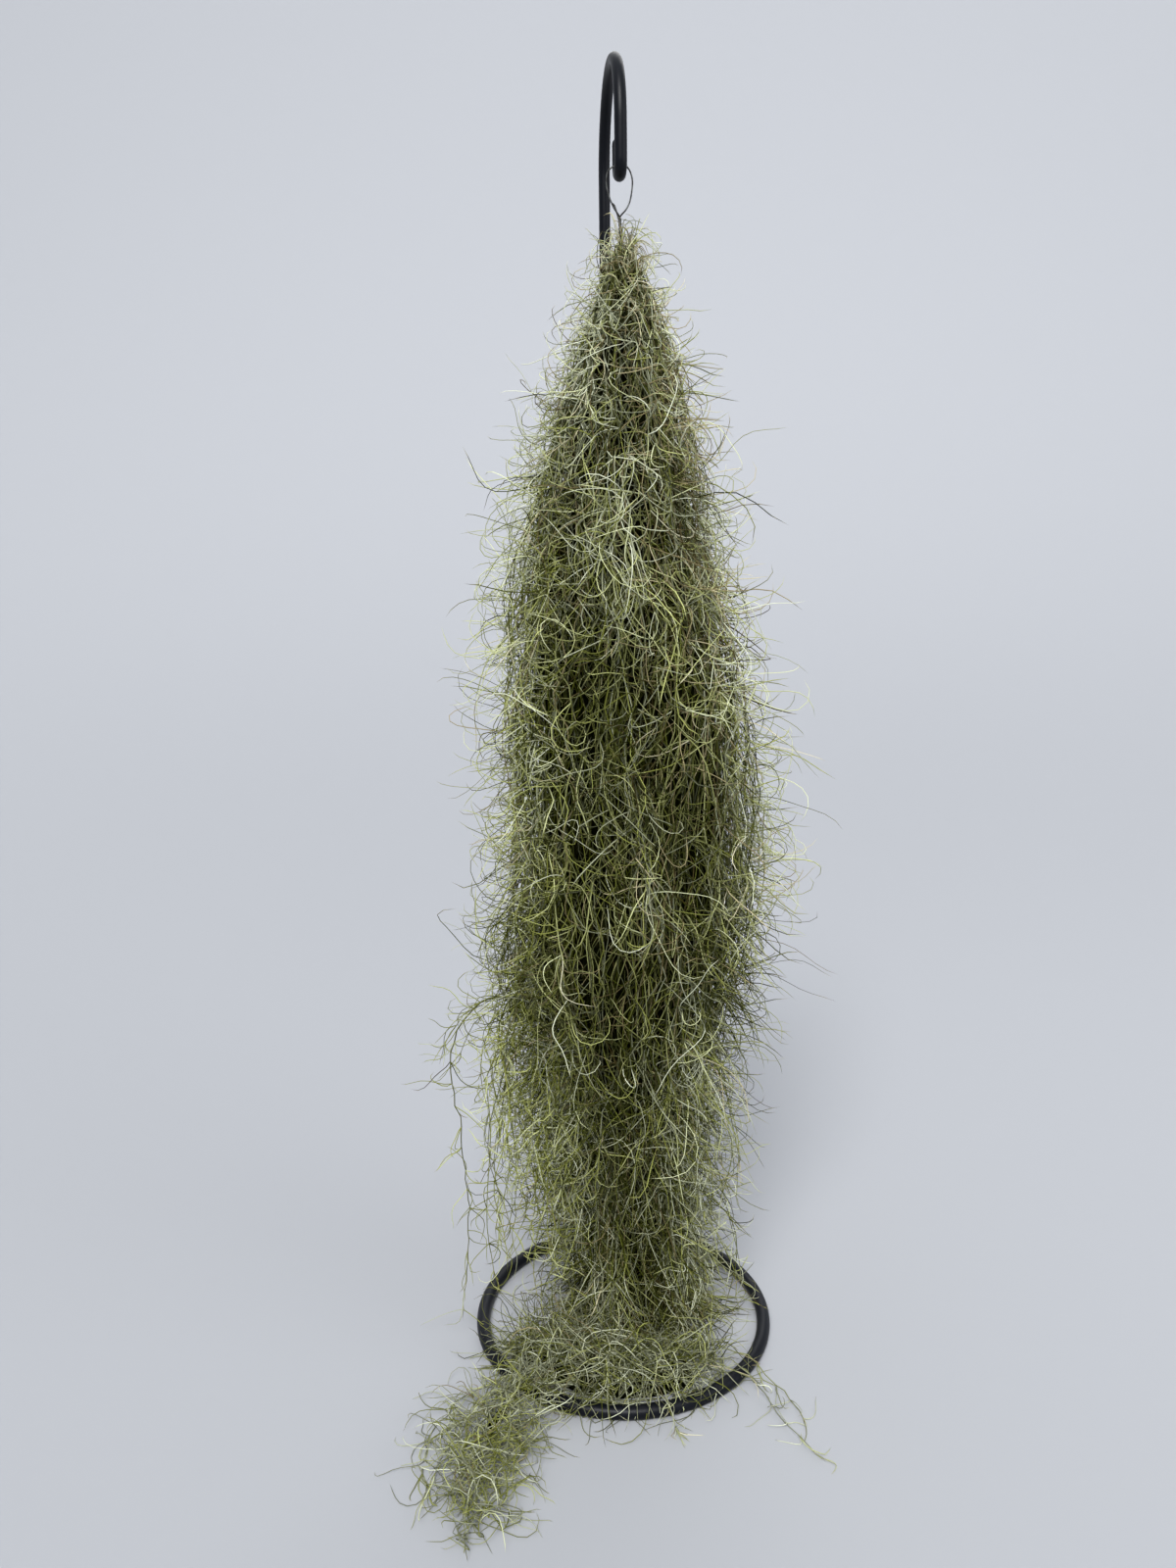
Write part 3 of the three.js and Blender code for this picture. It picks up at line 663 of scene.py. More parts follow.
@dataclass(frozen=True)
class PowderCoat:
    """Black satin powder coat with a fine orange peel, dusty on top and rubbed here and there."""

    name: str = "powder_coat"
    black: Colour = (0.003, 0.0038, 0.0065)
    dust: Colour = (0.03, 0.03, 0.031)
    dust_share: float = 0.3
    roughness: float = 0.33

    def material(self) -> bpy.types.Material:
        """Builds the material.

        Returns:
            The material.
        """
        shader = Shader(self.name)
        where = shader.node("TexCoord").outputs["Object"]
        peel = shader.noise(where, 900.0, 2.0)
        cloud = shader.noise(where, 34.0, 4.0, 0.65)
        facing = shader.node("SeparateXYZ", None, {0: shader.node("NewGeometry").outputs["Normal"]})
        upward = shader.number(facing.outputs[2]).stepped(0.2, 1.0)
        dusty = upward * cloud.stepped(0.48, 0.75) * self.dust_share
        return shader.dressed(
            Base_Color=shader.mixed(dusty, self.black, self.dust),
            Roughness=self.roughness + 0.16 * cloud + 0.3 * dusty,
            Normal=shader.bump(peel, 0.00012, 0.5),
            Specular_IOR_Level=0.16,
        )


@dataclass(frozen=True)
class DrawnWire:
    """Dull drawn steel wire, darkened in places."""

    name: str = "drawn_wire"
    steel: Colour = (0.12, 0.124, 0.12)
    dark: Colour = (0.025, 0.024, 0.022)
    roughness: float = 0.38

    def material(self) -> bpy.types.Material:
        """Builds the material.

        Returns:
            The material.
        """
        shader = Shader(self.name)
        where = shader.node("TexCoord").outputs["Object"]
        stain = shader.noise(where, 160.0, 4.0, 0.6)
        return shader.dressed(
            Base_Color=shader.mixed(stain.stepped(0.4, 0.62), self.steel, self.dark),
            Metallic=0.9,
            Roughness=self.roughness + 0.25 * stain,
            Normal=shader.bump(shader.noise(where, 1400.0), 0.00005, 0.4),
        )


@dataclass(frozen=True)
class PaleFloor:
    """The plain pale ground."""

    name: str = "pale_floor"
    pale: Colour = (0.37, 0.38, 0.404)

    def material(self) -> bpy.types.Material:
        """Builds the material."""
        return Shader(self.name).dressed(Base_Color=self.pale, Roughness=0.9, Specular_IOR_Level=0.1)


# ---- The stand ----


@dataclass
class Stand:
    """The base ring, and the bent rod that is post, arch, arm and hook in one."""

    ring_radius: float = 142.6
    ring_rod: float = 13.0
    post_rod: float = 11.0
    post: Pair = (-3.5, 142.6)
    arm: Pair = (7.0, 0.0)
    foot_z: float = 8.0  # inside the ring, under the weld
    arch_centre_z: float = 1131.0
    hook_centre_z: float = 1099.7
    hook_radius: float = 9.0
    hook_tip_z: float = 1123.0
    weld_radius: float = 2.1
    weld_gap: float = 0.6  # from the post to the middle of the bead
    weld_sink: float = 0.3  # below the top of the ring
    weld_drop: float = 3.1  # at the front and back, where the ring's round side falls away
    corners: int = 24  # of the rods' sections
    ring_steps: int = 144
    post_steps: int = 40
    arch_steps: int = 48
    bend_steps: int = 24
    cap_steps: int = 6

    def __post_init__(self) -> None:
        """Works out the direction from the arm to the post."""
        gap = np.subtract(self.post, self.arm)
        self.span = float(np.linalg.norm(gap))
        self.to_post = gap / self.span

    def in_plane(self, from_arm: Array, z: Array) -> Array:
        """Returns points in the hook's plane, by their distance from the arm and their height."""
        from_arm, z = np.broadcast_arrays(from_arm, z)
        return np.stack([self.arm[0] + self.to_post[0] * from_arm,
                         self.arm[1] + self.to_post[1] * from_arm, z], axis=-1)

    def hook_bend(self) -> Array:
        """Returns the lowest point of the hook's middle line, over which the bunch hangs."""
        return self.in_plane(np.array(self.hook_radius), np.array(self.hook_centre_z - self.hook_radius))

    def ring(self) -> Skin:
        """Makes the base ring.

        Formula: a circle with the rod's radius, carried round a circle with the ring's.

        Returns:
            The skin.
        """
        around = np.linspace(0, 2 * np.pi, self.ring_steps, endpoint=False)[:, None]
        turn = -np.linspace(0, 2 * np.pi, self.corners, endpoint=False)[None]
        out = self.ring_radius + self.ring_rod / 2 * np.cos(turn)
        rise = self.ring_rod / 2 * (1 + np.sin(turn)) + 0 * around
        rings = np.stack([out * np.cos(around), out * np.sin(around), rise], axis=-1)
        return sleeve(rings, WHOLE_MAP, endless=True)

    def rod_path(self) -> tuple[Array, Array]:
        """Works out the rod's middle line and radii.

        Formula: straight up, half a circle of half the span over to the arm, straight down, half a
        circle of the hook's radius, and up to a rounded end, whose radius falls as a quarter of a
        circle does.

        Returns:
            The points, and the radius at each.
        """
        radius, half, small = self.post_rod / 2, self.span / 2, self.hook_radius
        post = np.linspace(self.foot_z, self.arch_centre_z, self.post_steps, endpoint=False)
        arch = np.linspace(0, np.pi, self.arch_steps + 1)
        bend = np.linspace(0, np.pi, self.bend_steps + 1)
        top = self.hook_tip_z - radius
        end = np.linspace(self.hook_centre_z + 4, top, 3, endpoint=False)
        cap = np.linspace(0, np.pi / 2, self.cap_steps + 1)
        path = np.vstack([
            self.in_plane(self.span, post),
            self.in_plane(half * (1 + np.cos(arch)), self.arch_centre_z + half * np.sin(arch)),
            self.in_plane(small * (1 - np.cos(bend)), self.hook_centre_z - small * np.sin(bend)),
            self.in_plane(2 * small, end),
            self.in_plane(2 * small, top + radius * np.sin(cap)),
        ])
        radii = np.full(len(path), radius)
        radii[-len(cap):] = radius * np.maximum(np.cos(cap), 0.02)
        return path, radii

    def weld(self) -> Skin:
        """Makes the bead of weld round the post's foot.

        Formula: a circle carried round the post. Its radius ripples by two sines of the angle, and
        its middle drops by a squared sine, as the ring's round side does.

        Returns:
            The skin.
        """
        around = np.linspace(0, 2 * np.pi, 64, endpoint=False)[:, None]
        turn = -np.linspace(0, 2 * np.pi, 12, endpoint=False)[None]
        thick = self.weld_radius * (1 + 0.13 * np.sin(11 * around) + 0.08 * np.sin(5 * around + 1))
        out = self.post_rod / 2 + self.weld_gap + thick * np.cos(turn)
        drop = self.weld_drop * np.sin(around) ** 2
        rise = self.ring_rod - self.weld_sink - drop + thick * np.sin(turn)
        x, y = self.post
        rings = np.stack([x + out * np.cos(around), y + out * np.sin(around), rise], axis=-1)
        return sleeve(rings, WHOLE_MAP, endless=True)

    def build(self, coat: bpy.types.Material) -> None:
        """Builds the stand's two pieces.

        Args:
            coat: Their finish.
        """
        make_piece("base_ring", [self.ring()], [coat], "stand_steel", "stand_ring")
        post = rod(*self.rod_path(), self.corners)
        make_piece("hook_post", [post, self.weld()], [coat], "stand_steel", "stand_post")


@dataclass
class Wire:
    """The wire loop over the hook's bend, crossed below it and twisted into the moss."""

    stand: Stand
    radius: float = 0.7
    seat: float = 0.3  # between the wire and the hook it hangs on
    crossing_z: float = 1057.0
    half_width: float = 11.0
    twist_radius: float = 0.85
    twist_start: float = 6.0  # below the crossing
    twist_end_z: float = 1012.0
    twist_pitch: float = 7.0
    twist_step: float = 0.9
    tip_share: float = 0.4  # of the radius, at the cut end
    corners: int = 8

    def at_hook(self, across: Array, z: Array, back: Array) -> Array:
        """Places points of the wire by the hook.

        Args:
            across: How far each is across the loop.
            z: Its height.
            back: How far it stands back.

        Returns:
            The points, one a row.
        """
        bend = self.stand.hook_bend()
        return np.column_stack([bend[0] + across, bend[1] + back, z])

    def loop(self) -> Skin:
        """Makes the loop, from its crossing over the hook and back.

        Returns:
            The skin.
        """
        low, wide = self.crossing_z, self.half_width
        top = self.stand.hook_bend()[2] + self.stand.post_rod / 2 + self.radius + self.seat
        corners = np.array([
            (0.3, low - 8, 0.6), (0, low - 1, 0.9), (-5, low + 6.5, 0.4), (-9, low + 15, 0),
            (-wide - 0.6, low + 25, 0), (-wide, top - 6, 0), (-8, top - 1.6, 0), (-4.4, top, 0),
            (4.4, top, 0), (7.6, top - 2, 0), (wide - 1, top - 7, 0), (wide, low + 26, 0),
            (9, low + 13, 0), (5.5, low + 5.5, -0.3), (0, low - 1, -0.9), (-0.3, low - 8, -0.6),
        ])
        path = smooth_path(self.at_hook(*corners.T), 8)
        return rod(path, np.full(len(path), self.radius), self.corners)

    def twisted(self, phase: float) -> Skin:
        """Makes one of the two twisted legs.

        Formula: a helix about the bunch's axis, one turn in each pitch of the height.

        Args:
            phase: Angle that it is turned by.

        Returns:
            The skin.
        """
        z = np.arange(self.crossing_z - self.twist_start, self.twist_end_z, -self.twist_step)
        turn = 2 * np.pi * z / self.twist_pitch + phase
        path = self.at_hook(self.twist_radius * np.cos(turn), z, self.twist_radius * np.sin(turn))
        return rod(path, np.full(len(path), self.radius), self.corners)

    def free_end(self) -> Skin:
        """Makes the wire's short free end, which sticks out beside the crossing.

        Returns:
            The skin.
        """
        low = self.crossing_z
        corners = np.array([(0.6, low - 9, 1.2), (-2.2, low + 1.5, 1.9), (-4.6, low + 8.5, 1.0),
                            (-6.8, low + 10.6, 0.2)])
        path = smooth_path(self.at_hook(*corners.T), 6)
        radii = np.full(len(path), self.radius)
        radii[-1] = self.tip_share * self.radius
        return rod(path, radii, self.corners)

    def build(self, steel: bpy.types.Material) -> None:
        """Builds the wire as one piece in the finish `steel`."""
        skins = [self.loop(), self.twisted(0.0), self.twisted(np.pi), self.free_end()]
        make_piece("hanging_wire", skins, [steel], "wire_steel", "wire_loop")


# ---- Growth: what strands and leaves have in common ----


@dataclass(frozen=True)
class Habit:
    """How leaves grow on a strand: sizes in millimetres, turns in radians."""

    length: Pair = (40.0, 98.0)
    turn: Pair = (1.2, 4.4)  # from root to tip
    wave: float = 0.4  # turn to and fro on top of that
    waves: float = 1.1  # times to and fro along a leaf
    twist: float = 0.9  # spread of the roll out of one plane
    out: Pair = (0.0, 0.7)  # how strongly a leaf starts outwards
    down: Pair = (-0.2, 1.0)  # along the strand
    scatter: float = 0.9  # and in any direction
    droop: float = 0.25
    flat: float = 0.0  # share of the turns up and down that is missing
    thick: float = 0.50  # radius at the root
    fine: float = 0.26  # radius before the tip
    segments: int = 9


@dataclass(frozen=True)
class KeepOut:
    """Room that the moss leaves for the stand, and the floor it lies on."""

    stand: Stand
    clearance: float = 0.9
    floor: float = 0.8
    low: Pair = (-215.0, -296.0)  # limits in X and Y
    high: Pair = (225.0, 156.0)
    give: float = 0.35  # share that is left of what lies beyond the limits

    def clear(self, points: Array) -> Array:
        """Moves points out of the ring and the post, above the floor and not too far out.

        Formula: what lies beyond the limits in X and Y is drawn in to a share of its distance from
        them. A point nearer to the ring's or the post's middle line than its rod's radius and a
        clearance is moved straight away from that line to that distance.

        Args:
            points: The points, with their coordinates along the last axis.

        Returns:
            The points where they may lie.
        """
        stand, moved = self.stand, points.copy()
        held = np.clip(moved[..., :2], self.low, self.high)
        moved[..., :2] = held + self.give * (moved[..., :2] - held)

        around = np.hypot(moved[..., 0], moved[..., 1])
        out, rise = around - stand.ring_radius, moved[..., 2] - stand.ring_rod / 2
        gap = np.maximum(np.hypot(out, rise), 1e-6)
        grow = np.maximum(1.0, (stand.ring_rod / 2 + self.clearance) / gap)
        scale = (stand.ring_radius + out * grow) / np.maximum(around, 1e-6)
        near = grow > 1
        moved[..., :2] = np.where(near[..., None], moved[..., :2] * scale[..., None], moved[..., :2])
        moved[..., 2] = np.where(near, stand.ring_rod / 2 + rise * grow, moved[..., 2])

        aside = moved[..., :2] - np.array(stand.post)
        gap = np.maximum(np.linalg.norm(aside, axis=-1, keepdims=True), 1e-6)
        grow = np.maximum(1.0, (stand.post_rod / 2 + self.clearance) / gap)
        moved[..., :2] = np.array(stand.post) + aside * grow
        moved[..., 2] = np.maximum(moved[..., 2], self.floor)
        return moved


def curls(roots: Array, headings: Array, lengths: Array, habit: Habit, rng: np.random.Generator) -> Array:
    """Works out the middle lines of curly leaves.

    Formula: at the share s of its length a leaf runs along cos q h + sin q n, less droop times s
    upwards, where h is its heading, q is turn times s plus a sine wave of s, and n, square to h,
    turns about it by twist times s. A flat habit leans n to the level.

    Args:
        roots: Where the leaves start.
        headings: Unit directions in which they leave.
        lengths: Their lengths.
        habit: How they grow.
        rng: Random numbers.

    Returns:
        Points as (leaves, stations, 3).
    """
    count, segments = len(roots), habit.segments
    share = ((np.arange(segments) + 0.5) / segments)[None, :, None]
    bend = unit(square_to(headings, rng) * [1, 1, 1 - habit.flat])[:, None]
    heading = headings[:, None]
    aside = np.cross(heading, bend)
    phase = rng.uniform(0, 2 * np.pi, (count, 1, 1))
    turn = (rng.uniform(*habit.turn, (count, 1, 1)) * share
            + habit.wave * (np.sin(2 * np.pi * share * habit.waves + phase) - np.sin(phase)))
    roll = rng.normal(0, habit.twist, count)[:, None, None] * share
    towards = np.cos(roll) * bend + np.sin(roll) * aside
    way = np.cos(turn) * heading + np.sin(turn) * towards
    way[..., 2] -= habit.droop * share[..., 0]
    steps = unit(way) * (lengths / segments)[:, None, None]
    return np.concatenate([roots[:, None], roots[:, None] + np.cumsum(steps, axis=1)], axis=1)


@dataclass(frozen=True)
class Stray:
    """A loose strand: the corners of its middle line, and how its leaves grow."""

    corners: tuple[Triple, ...]
    leaves: Pair = (2.0, 2.0)  # at a node, from its start to its end
    paleness: float = 0.4
    leaf_paleness: float = 0.15  # how much paler its leaves are
    lean: dict[Tone, float] | None = None
    internode: float = 22.0
    sway: float = 0.9  # how far a station strays from the line
    thick: float = 0.62
    fine: float = 0.42
    habit: Habit = Habit(length=(26.0, 56.0), turn=(0.5, 2.6), out=(0.2, 0.9), down=(0.2, 1.2),
                         scatter=0.5, droop=0.4, segments=7)


@dataclass
class Growth:
    """Collects the strands and leaves of one piece and gives them their tones."""

    keep_out: KeepOut
    rng: np.random.Generator
    skins: list[Skin] = field(default_factory=list)
    tie_z: float = 1050.0  # height towards which leaves are shorter and lie closer
    tied_depth: float = 220.0  # distance below it over which they come free
    least_free: float = 0.1
    scatter_kept: Pair = (0.4, 0.6)  # share that a tied leaf keeps, and what freedom adds
    length_kept: Pair = (0.55, 0.45)
    size_spread: Pair = (0.85, 1.15)  # of the leaves' radii
    taper: float = 1.3
    paleness_spread: float = 0.2
    bright_share: float = 0.15  # of all leaves, that are paler than the rest
    bright_gain: float = 0.32

    def tones(self, points: Array, paleness: Array, lean: dict[Tone, float] | None = None) -> Array:
        """Picks a colouring for each point from where it is in the bunch.

        Formula: each colouring has a weight that grows towards its own part of the bunch, and one
        is drawn by weight. Green grows most between the patches, yellow at the left and most at the
        left foot, straw at the upper right and the top, and silver in the patches, at the top and,
        for pale leaves, low down. The patches are the sum of two sines of the angle and the height.

        Args:
            points: The places.
            paleness: How pale the strand or leaf at each is.
            lean: Weights to add, for a piece with a colouring of its own.

        Returns:
            The colourings' numbers.
        """
        x, z = points[:, 0], points[:, 2]
        low = ramp(z, 420, 160)
        left_foot = ramp(x, -45, -85) * ramp(z, 390, 270) * ramp(z, 40, 90)
        upper_right = ramp(x, 5, 50) * ramp(z, 560, 720)
        angle = np.arctan2(points[:, 1], x)
        patch = np.sin(3 * angle + z / 83) + np.sin(5 * angle - z / 47 + 2)
        green = 0.50 + 0.2 * np.clip(-patch, 0, 1)
        yellow = 0.16 + 0.35 * ramp(x, -20, -80) + 2.2 * left_foot + 0.25 * low
        straw = 0.08 + 0.45 * upper_right + 0.5 * ramp(z, 800, 1000)
        silver = (0.16 + 0.35 * np.clip(patch, 0, 1) + 0.7 * ramp(z, 700, 980)
                  + low * (1 - left_foot) * (0.2 + 3.0 * np.clip(paleness - 0.2, 0, 1)))
        weights = np.stack([green, yellow, straw, silver])
        for tone, extra in (lean or {}).items():
            weights[tone.value] += extra
        shares = np.cumsum(weights / weights.sum(axis=0), axis=0)
        return np.sum(self.rng.uniform(size=len(points))[None] > shares, axis=0).clip(0, len(Tone) - 1)

    def add_strands(self, paths: Array, thick: float, fine: float, paleness: Pair) -> None:
        """Adds strands along middle lines.

        Args:
            paths: Points as (strands, stations, 3).
            thick: Radius at the start.
            fine: Radius towards the end.
            paleness: Mean and spread of their paleness.
        """
        paths = self.keep_out.clear(paths)
        share = np.linspace(0, 1, paths.shape[1])
        radii = np.broadcast_to(thick + (fine - thick) * share, paths.shape[:2])
        pale = self.rng.normal(*paleness, len(paths))
        columns = UvPlan.column(self.tones(paths[:, paths.shape[1] // 2], pale), pale)
        self.skins.append(tubes(paths, radii, columns, self.rng))

    def add_leaves(self, roots: Array, outwards: Array, paleness: Array, habit: Habit,
                   lean: dict[Tone, float] | None = None, along: Array | None = None,
                   least_pale: float = 0.0) -> None:
        """Adds a leaf at each root.

        Formula: a leaf's heading is the sum of a share of the outward direction, one of the
        strand's direction and a scatter in any direction. Its radius falls from thick to fine with
        a power of the share of its length.

        Args:
            roots: Where the leaves start.
            outwards: Unit directions that face out of the moss there.
            paleness: Mean paleness of each.
            habit: How they grow.
            lean: Weights to add to the colourings.
            along: Directions that the strands run in there, if not straight down.
            least_pale: The least paleness of a leaf.
        """
        count, rng = len(roots), self.rng
        down = np.array([0.0, 0.0, -1.0]) if along is None else along
        free = np.clip((self.tie_z - roots[:, 2:]) / self.tied_depth, self.least_free, 1)
        scatter = habit.scatter * (self.scatter_kept[0] + self.scatter_kept[1] * free)
        headings = unit(outwards * rng.uniform(*habit.out, (count, 1)) * free
                        + down * rng.uniform(*habit.down, (count, 1))
                        + scatter * unit(rng.normal(size=(count, 3))) * [1, 1, 1 - habit.flat])
        kept = self.length_kept[0] + self.length_kept[1] * free[:, 0]
        lengths = rng.uniform(*habit.length, count) * kept
        paths = self.keep_out.clear(curls(roots, headings, lengths, habit, rng))
        share = np.linspace(0, 1, paths.shape[1])
        size = rng.uniform(*self.size_spread, (count, 1))
        radii = size * (habit.thick + (habit.fine - habit.thick) * share**self.taper)
        pale = (paleness + rng.normal(0, self.paleness_spread, count)
                + np.where(rng.uniform(size=count) < self.bright_share, self.bright_gain, 0))
        pale = np.maximum(pale, least_pale)
        columns = UvPlan.column(self.tones(roots, pale, lean), pale)
        self.skins.append(tubes(paths, radii, columns, rng))

    def add_stray(self, stray: Stray) -> None:
        """Adds one loose strand with its leaves.

        Args:
            stray: The strand. Its stations are half an internode apart, and every other one is a
                node.
        """
        path = evenly(smooth_path(np.array(stray.corners), 8), stray.internode / 2)
        path[1:-1] += self.rng.normal(0, stray.sway, (len(path) - 2, 3))
        self.add_strands(path[None], stray.thick, stray.fine, (stray.paleness, 0.0))
        spots, ways = path[1:-1:2], unit(np.gradient(path, axis=0))[1:-1:2]
        share = np.linspace(0, 1, len(spots))
        wanted = np.interp(share, [0, 1], stray.leaves) + self.rng.uniform(size=len(spots))
        spots, ways = (np.repeat(values, wanted.astype(int), axis=0) for values in (spots, ways))
        pale = np.full(len(spots), stray.paleness + stray.leaf_paleness)
        self.add_leaves(spots, square_to(ways, self.rng), pale, stray.habit, stray.lean, ways)


# ---- The hanging bunch ----


def part_stream(seed: int) -> Iterator[float]:
    """Draws the same random numbers as the part's source does.

    Formula: a 32-bit state grows by a fixed step, and each number is the state mixed by two rounds
    of shifts and products, as a share of 2^32.

    Args:
        seed: Where the state starts.

    Yields:
        Numbers between 0 and 1.
    """
    word = 0xFFFFFFFF
    state = seed
    while True:
        state = (state + 0x6D2B79F5) & word
        t = ((state ^ (state >> 15)) * (state | 1)) & word
        t ^= (t + (((t ^ (t >> 7)) * (t | 61)) & word)) & word
        yield (t ^ (t >> 14)) / (word + 1)


@dataclass(frozen=True)
class Fringe:
    """Loose strands that hang straight down beside the foot of the bunch."""

    strands: int
    tops: Pair
    lengths: Pair
    radius: Pair  # distance from the bunch's axis
    leaves: int = 3  # at a node
    radii: Pair = (0.6, 0.42)  # of the strands, from the start to the end
    strand_paleness: Pair = (0.3, 0.12)  # mean and spread
    paleness: float = 0.46  # of the leaves
    internode: float = 22.0
    floor_room: float = 14.0  # left below the longest ones
    inner_crowd: float = 1.4  # power that crowds the strands towards the bunch
    sway: float = 7.0  # to and from the axis
    swing: float = 0.09  # round the axis, in radians
    tuck: float = 0.45  # how far a strand's start lies inside, as a share of its distance
    tuck_fall: float = 28.0  # length over which it comes out
    habit: Habit = Habit(length=(24.0, 60.0), turn=(0.6, 3.4), out=(0.1, 0.9), down=(0.0, 0.9),
                         scatter=0.7, segments=7)


@dataclass
class Bunch:
    """The form of the whole hanging bunch: how far its dense part reaches, and its twelve hanks."""

    stand: Stand
    hanks: int = 12
    # Height, then the reach from the axis to the left, right, front and back.
    reach_table: tuple[tuple[float, ...], ...] = (
        (1036, 7, 7, 7, 7), (1016, 19, 21, 20, 19), (985, 33, 37, 34, 32), (935, 54, 53, 52, 46),
        (870, 74, 65, 68, 62), (800, 84, 78, 80, 72), (715, 93, 90, 92, 82), (625, 99, 106, 100, 88),
        (540, 101, 109, 104, 92), (455, 105, 117, 107, 94), (370, 112, 120, 110, 95),
        (290, 107, 115, 108, 93), (215, 82, 108, 99, 87), (140, 60, 103, 92, 79), (65, 54, 97, 86, 73),
    )
    # For each wave of the locks its height as a share of the reach, how often it goes round, and the
    # height in which it leans by a radian.
    relief: tuple[tuple[float, ...], ...] = ((0.055, 3, 70), (0.045, 5, -52), (0.03, 8, 37))
    edge_sway: Pair = (5.5, 2.5)  # degrees
    # Middle angle and half width in degrees, and the heights between which a groove runs.
    grooves: tuple[tuple[float, ...], ...] = (
        (262, 8, 250, 760), (236, 5, 380, 820), (287, 5, 200, 640), (308, 5, 420, 900), (211, 5, 400, 700),
        (276, 4, 640, 980), (340, 6, 300, 760), (22, 6, 350, 850), (75, 6, 200, 700), (120, 6, 420, 880),
        (160, 6, 300, 800), (250, 4, 760, 980), (48, 4, 600, 960), (98, 5, 560, 960), (190, 4, 560, 900),
    )
    groove_sway: float = 3.0  # degrees
    groove_ends: float = 70.0  # height over which a groove runs out
    # Height, and the share of the reach that is full: all round, then at the left and the right.
    full_round: Profile = ((0, 1.0), (60, 0.82), (200, 0.75), (340, 0.92), (450, 1.0), (780, 1.0),
                           (870, 0.9), (960, 0.8), (1030, 0.68))
    full_left: Profile = ((60, 0.9), (140, 0.88), (215, 0.75), (290, 0.66), (350, 1.08), (400, 1.1),
                          (470, 1.0), (600, 1.04), (640, 1.05), (700, 1.0), (960, 0.95), (1015, 0.6))
    full_right: Profile = ((40, 0.8), (100, 0.7), (260, 0.8), (400, 1.0), (560, 1.03), (630, 1.1),
                           (700, 1.05), (764, 0.93), (850, 1.0))
    side_width: float = 1.15  # how far round the left and right shares hold
    foot_z: float = 9.0
    foot_taper: float = 0.82
    fringes: dict[int, Fringe] = field(default_factory=lambda: {
        6: Fringe(22, (260, 375), (80, 280), (58, 132), 4),
        7: Fringe(38, (270, 390), (80, 310), (58, 152), 4),
        8: Fringe(18, (240, 360), (70, 260), (60, 122), 4),
        11: Fringe(5, (130, 300), (60, 190), (80, 104)),
        12: Fringe(9, (130, 330), (60, 220), (78, 120)),
        1: Fringe(6, (130, 300), (60, 190), (78, 114)),
    })
    strays: dict[int, tuple[Stray, ...]] = field(default_factory=lambda: {
        6: (Stray(((-62, 18, 304), (-106, 14, 286), (-114, 10, 240), (-106, 8, 190), (-108, 6, 130),
                   (-113, 4, 70)), (3.0, 1.5), 0.35),),
        7: (Stray(((-62, -5, 340), (-118, -8, 352), (-152, -14, 330), (-166, -18, 285), (-158, -20, 225),
                   (-154, -20, 165), (-153, -20, 100), (-159, -21, 45), (-162, -21, 14)), (3.0, 1.6), 0.2,
                  thick=0.9),
            Stray(((-70, -2, 344), (-120, -4, 348), (-150, -10, 334), (-176, -16, 300)), (4.0, 3.0)),
            Stray(((-64, 8, 330), (-112, 10, 336), (-146, 4, 316), (-160, 0, 280)), (4.0, 2.0))),
    })

    def __post_init__(self) -> None:
        """Draws the edges' and locks' phases as the part's source does, and adds a row for the foot."""
        self.axis = self.stand.hook_bend()[:2]
        self.top_z = self.reach_table[0][0]
        stream = part_stream(SEED)
        self.edge_phase = np.array([2 * np.pi * next(stream) for _ in range(self.hanks)])
        self.relief_phase = [2 * np.pi * next(stream) for _ in self.relief]
        table = np.array(self.reach_table[::-1])
        foot = np.concatenate([[self.foot_z], self.foot_taper * table[0, 1:]])
        self.table = np.vstack([foot, table])

    def reach(self, angle: Array, z: Array) -> Array:
        """Works out the dense part's reach from the axis.

        Formula: a quarter of an ellipse between each two of the four reaches at that height, times
        one plus what the locks stand out there.

        Args:
            angle: Angles round the axis.
            z: Heights.

        Returns:
            The distances.
        """
        left, right, front, back = (np.interp(z, self.table[:, 0], self.table[:, i]) for i in range(1, 5))
        across = np.cos(angle) / np.where(np.cos(angle) > 0, right, left)
        deep = np.sin(angle) / np.where(np.sin(angle) > 0, back, front)
        return (1 + self.locks(angle, z)) / np.hypot(across, deep)

    def locks(self, angle: Array, z: Array) -> Array:
        """Works out how far the locks stand out at a place.

        Formula: a sum of sines of a multiple of the angle and the height.

        Args:
            angle: Angles round the axis.
            z: Heights.

        Returns:
            Shares of the reach.
        """
        return sum(height * np.sin(times * angle + z / lean + phase)
                   for (height, times, lean), phase in zip(self.relief, self.relief_phase))

    def groove(self, angle: Array, z: Array) -> Array:
        """Works out how deep in a groove a place is.

        Formula: a bell in the angle about each groove's middle, which sways with the height, times
        a ramp at the groove's two ends. The deepest groove counts.

        Args:
            angle: Angles round the axis.
            z: Heights.

        Returns:
            Depths from 0 to 1.
        """
        deep = 0 * angle + 0 * z
        for middle, width, low, high in self.grooves:
            aside = np.degrees(angle) - middle - self.groove_sway * np.sin(z / 58 + middle)
            aside = (aside + 180) % 360 - 180
            share = ramp(z, low, low + self.groove_ends) * ramp(z, high, high - self.groove_ends)
            deep = np.maximum(deep, share * np.exp(-((aside / width) ** 2)))
        return deep

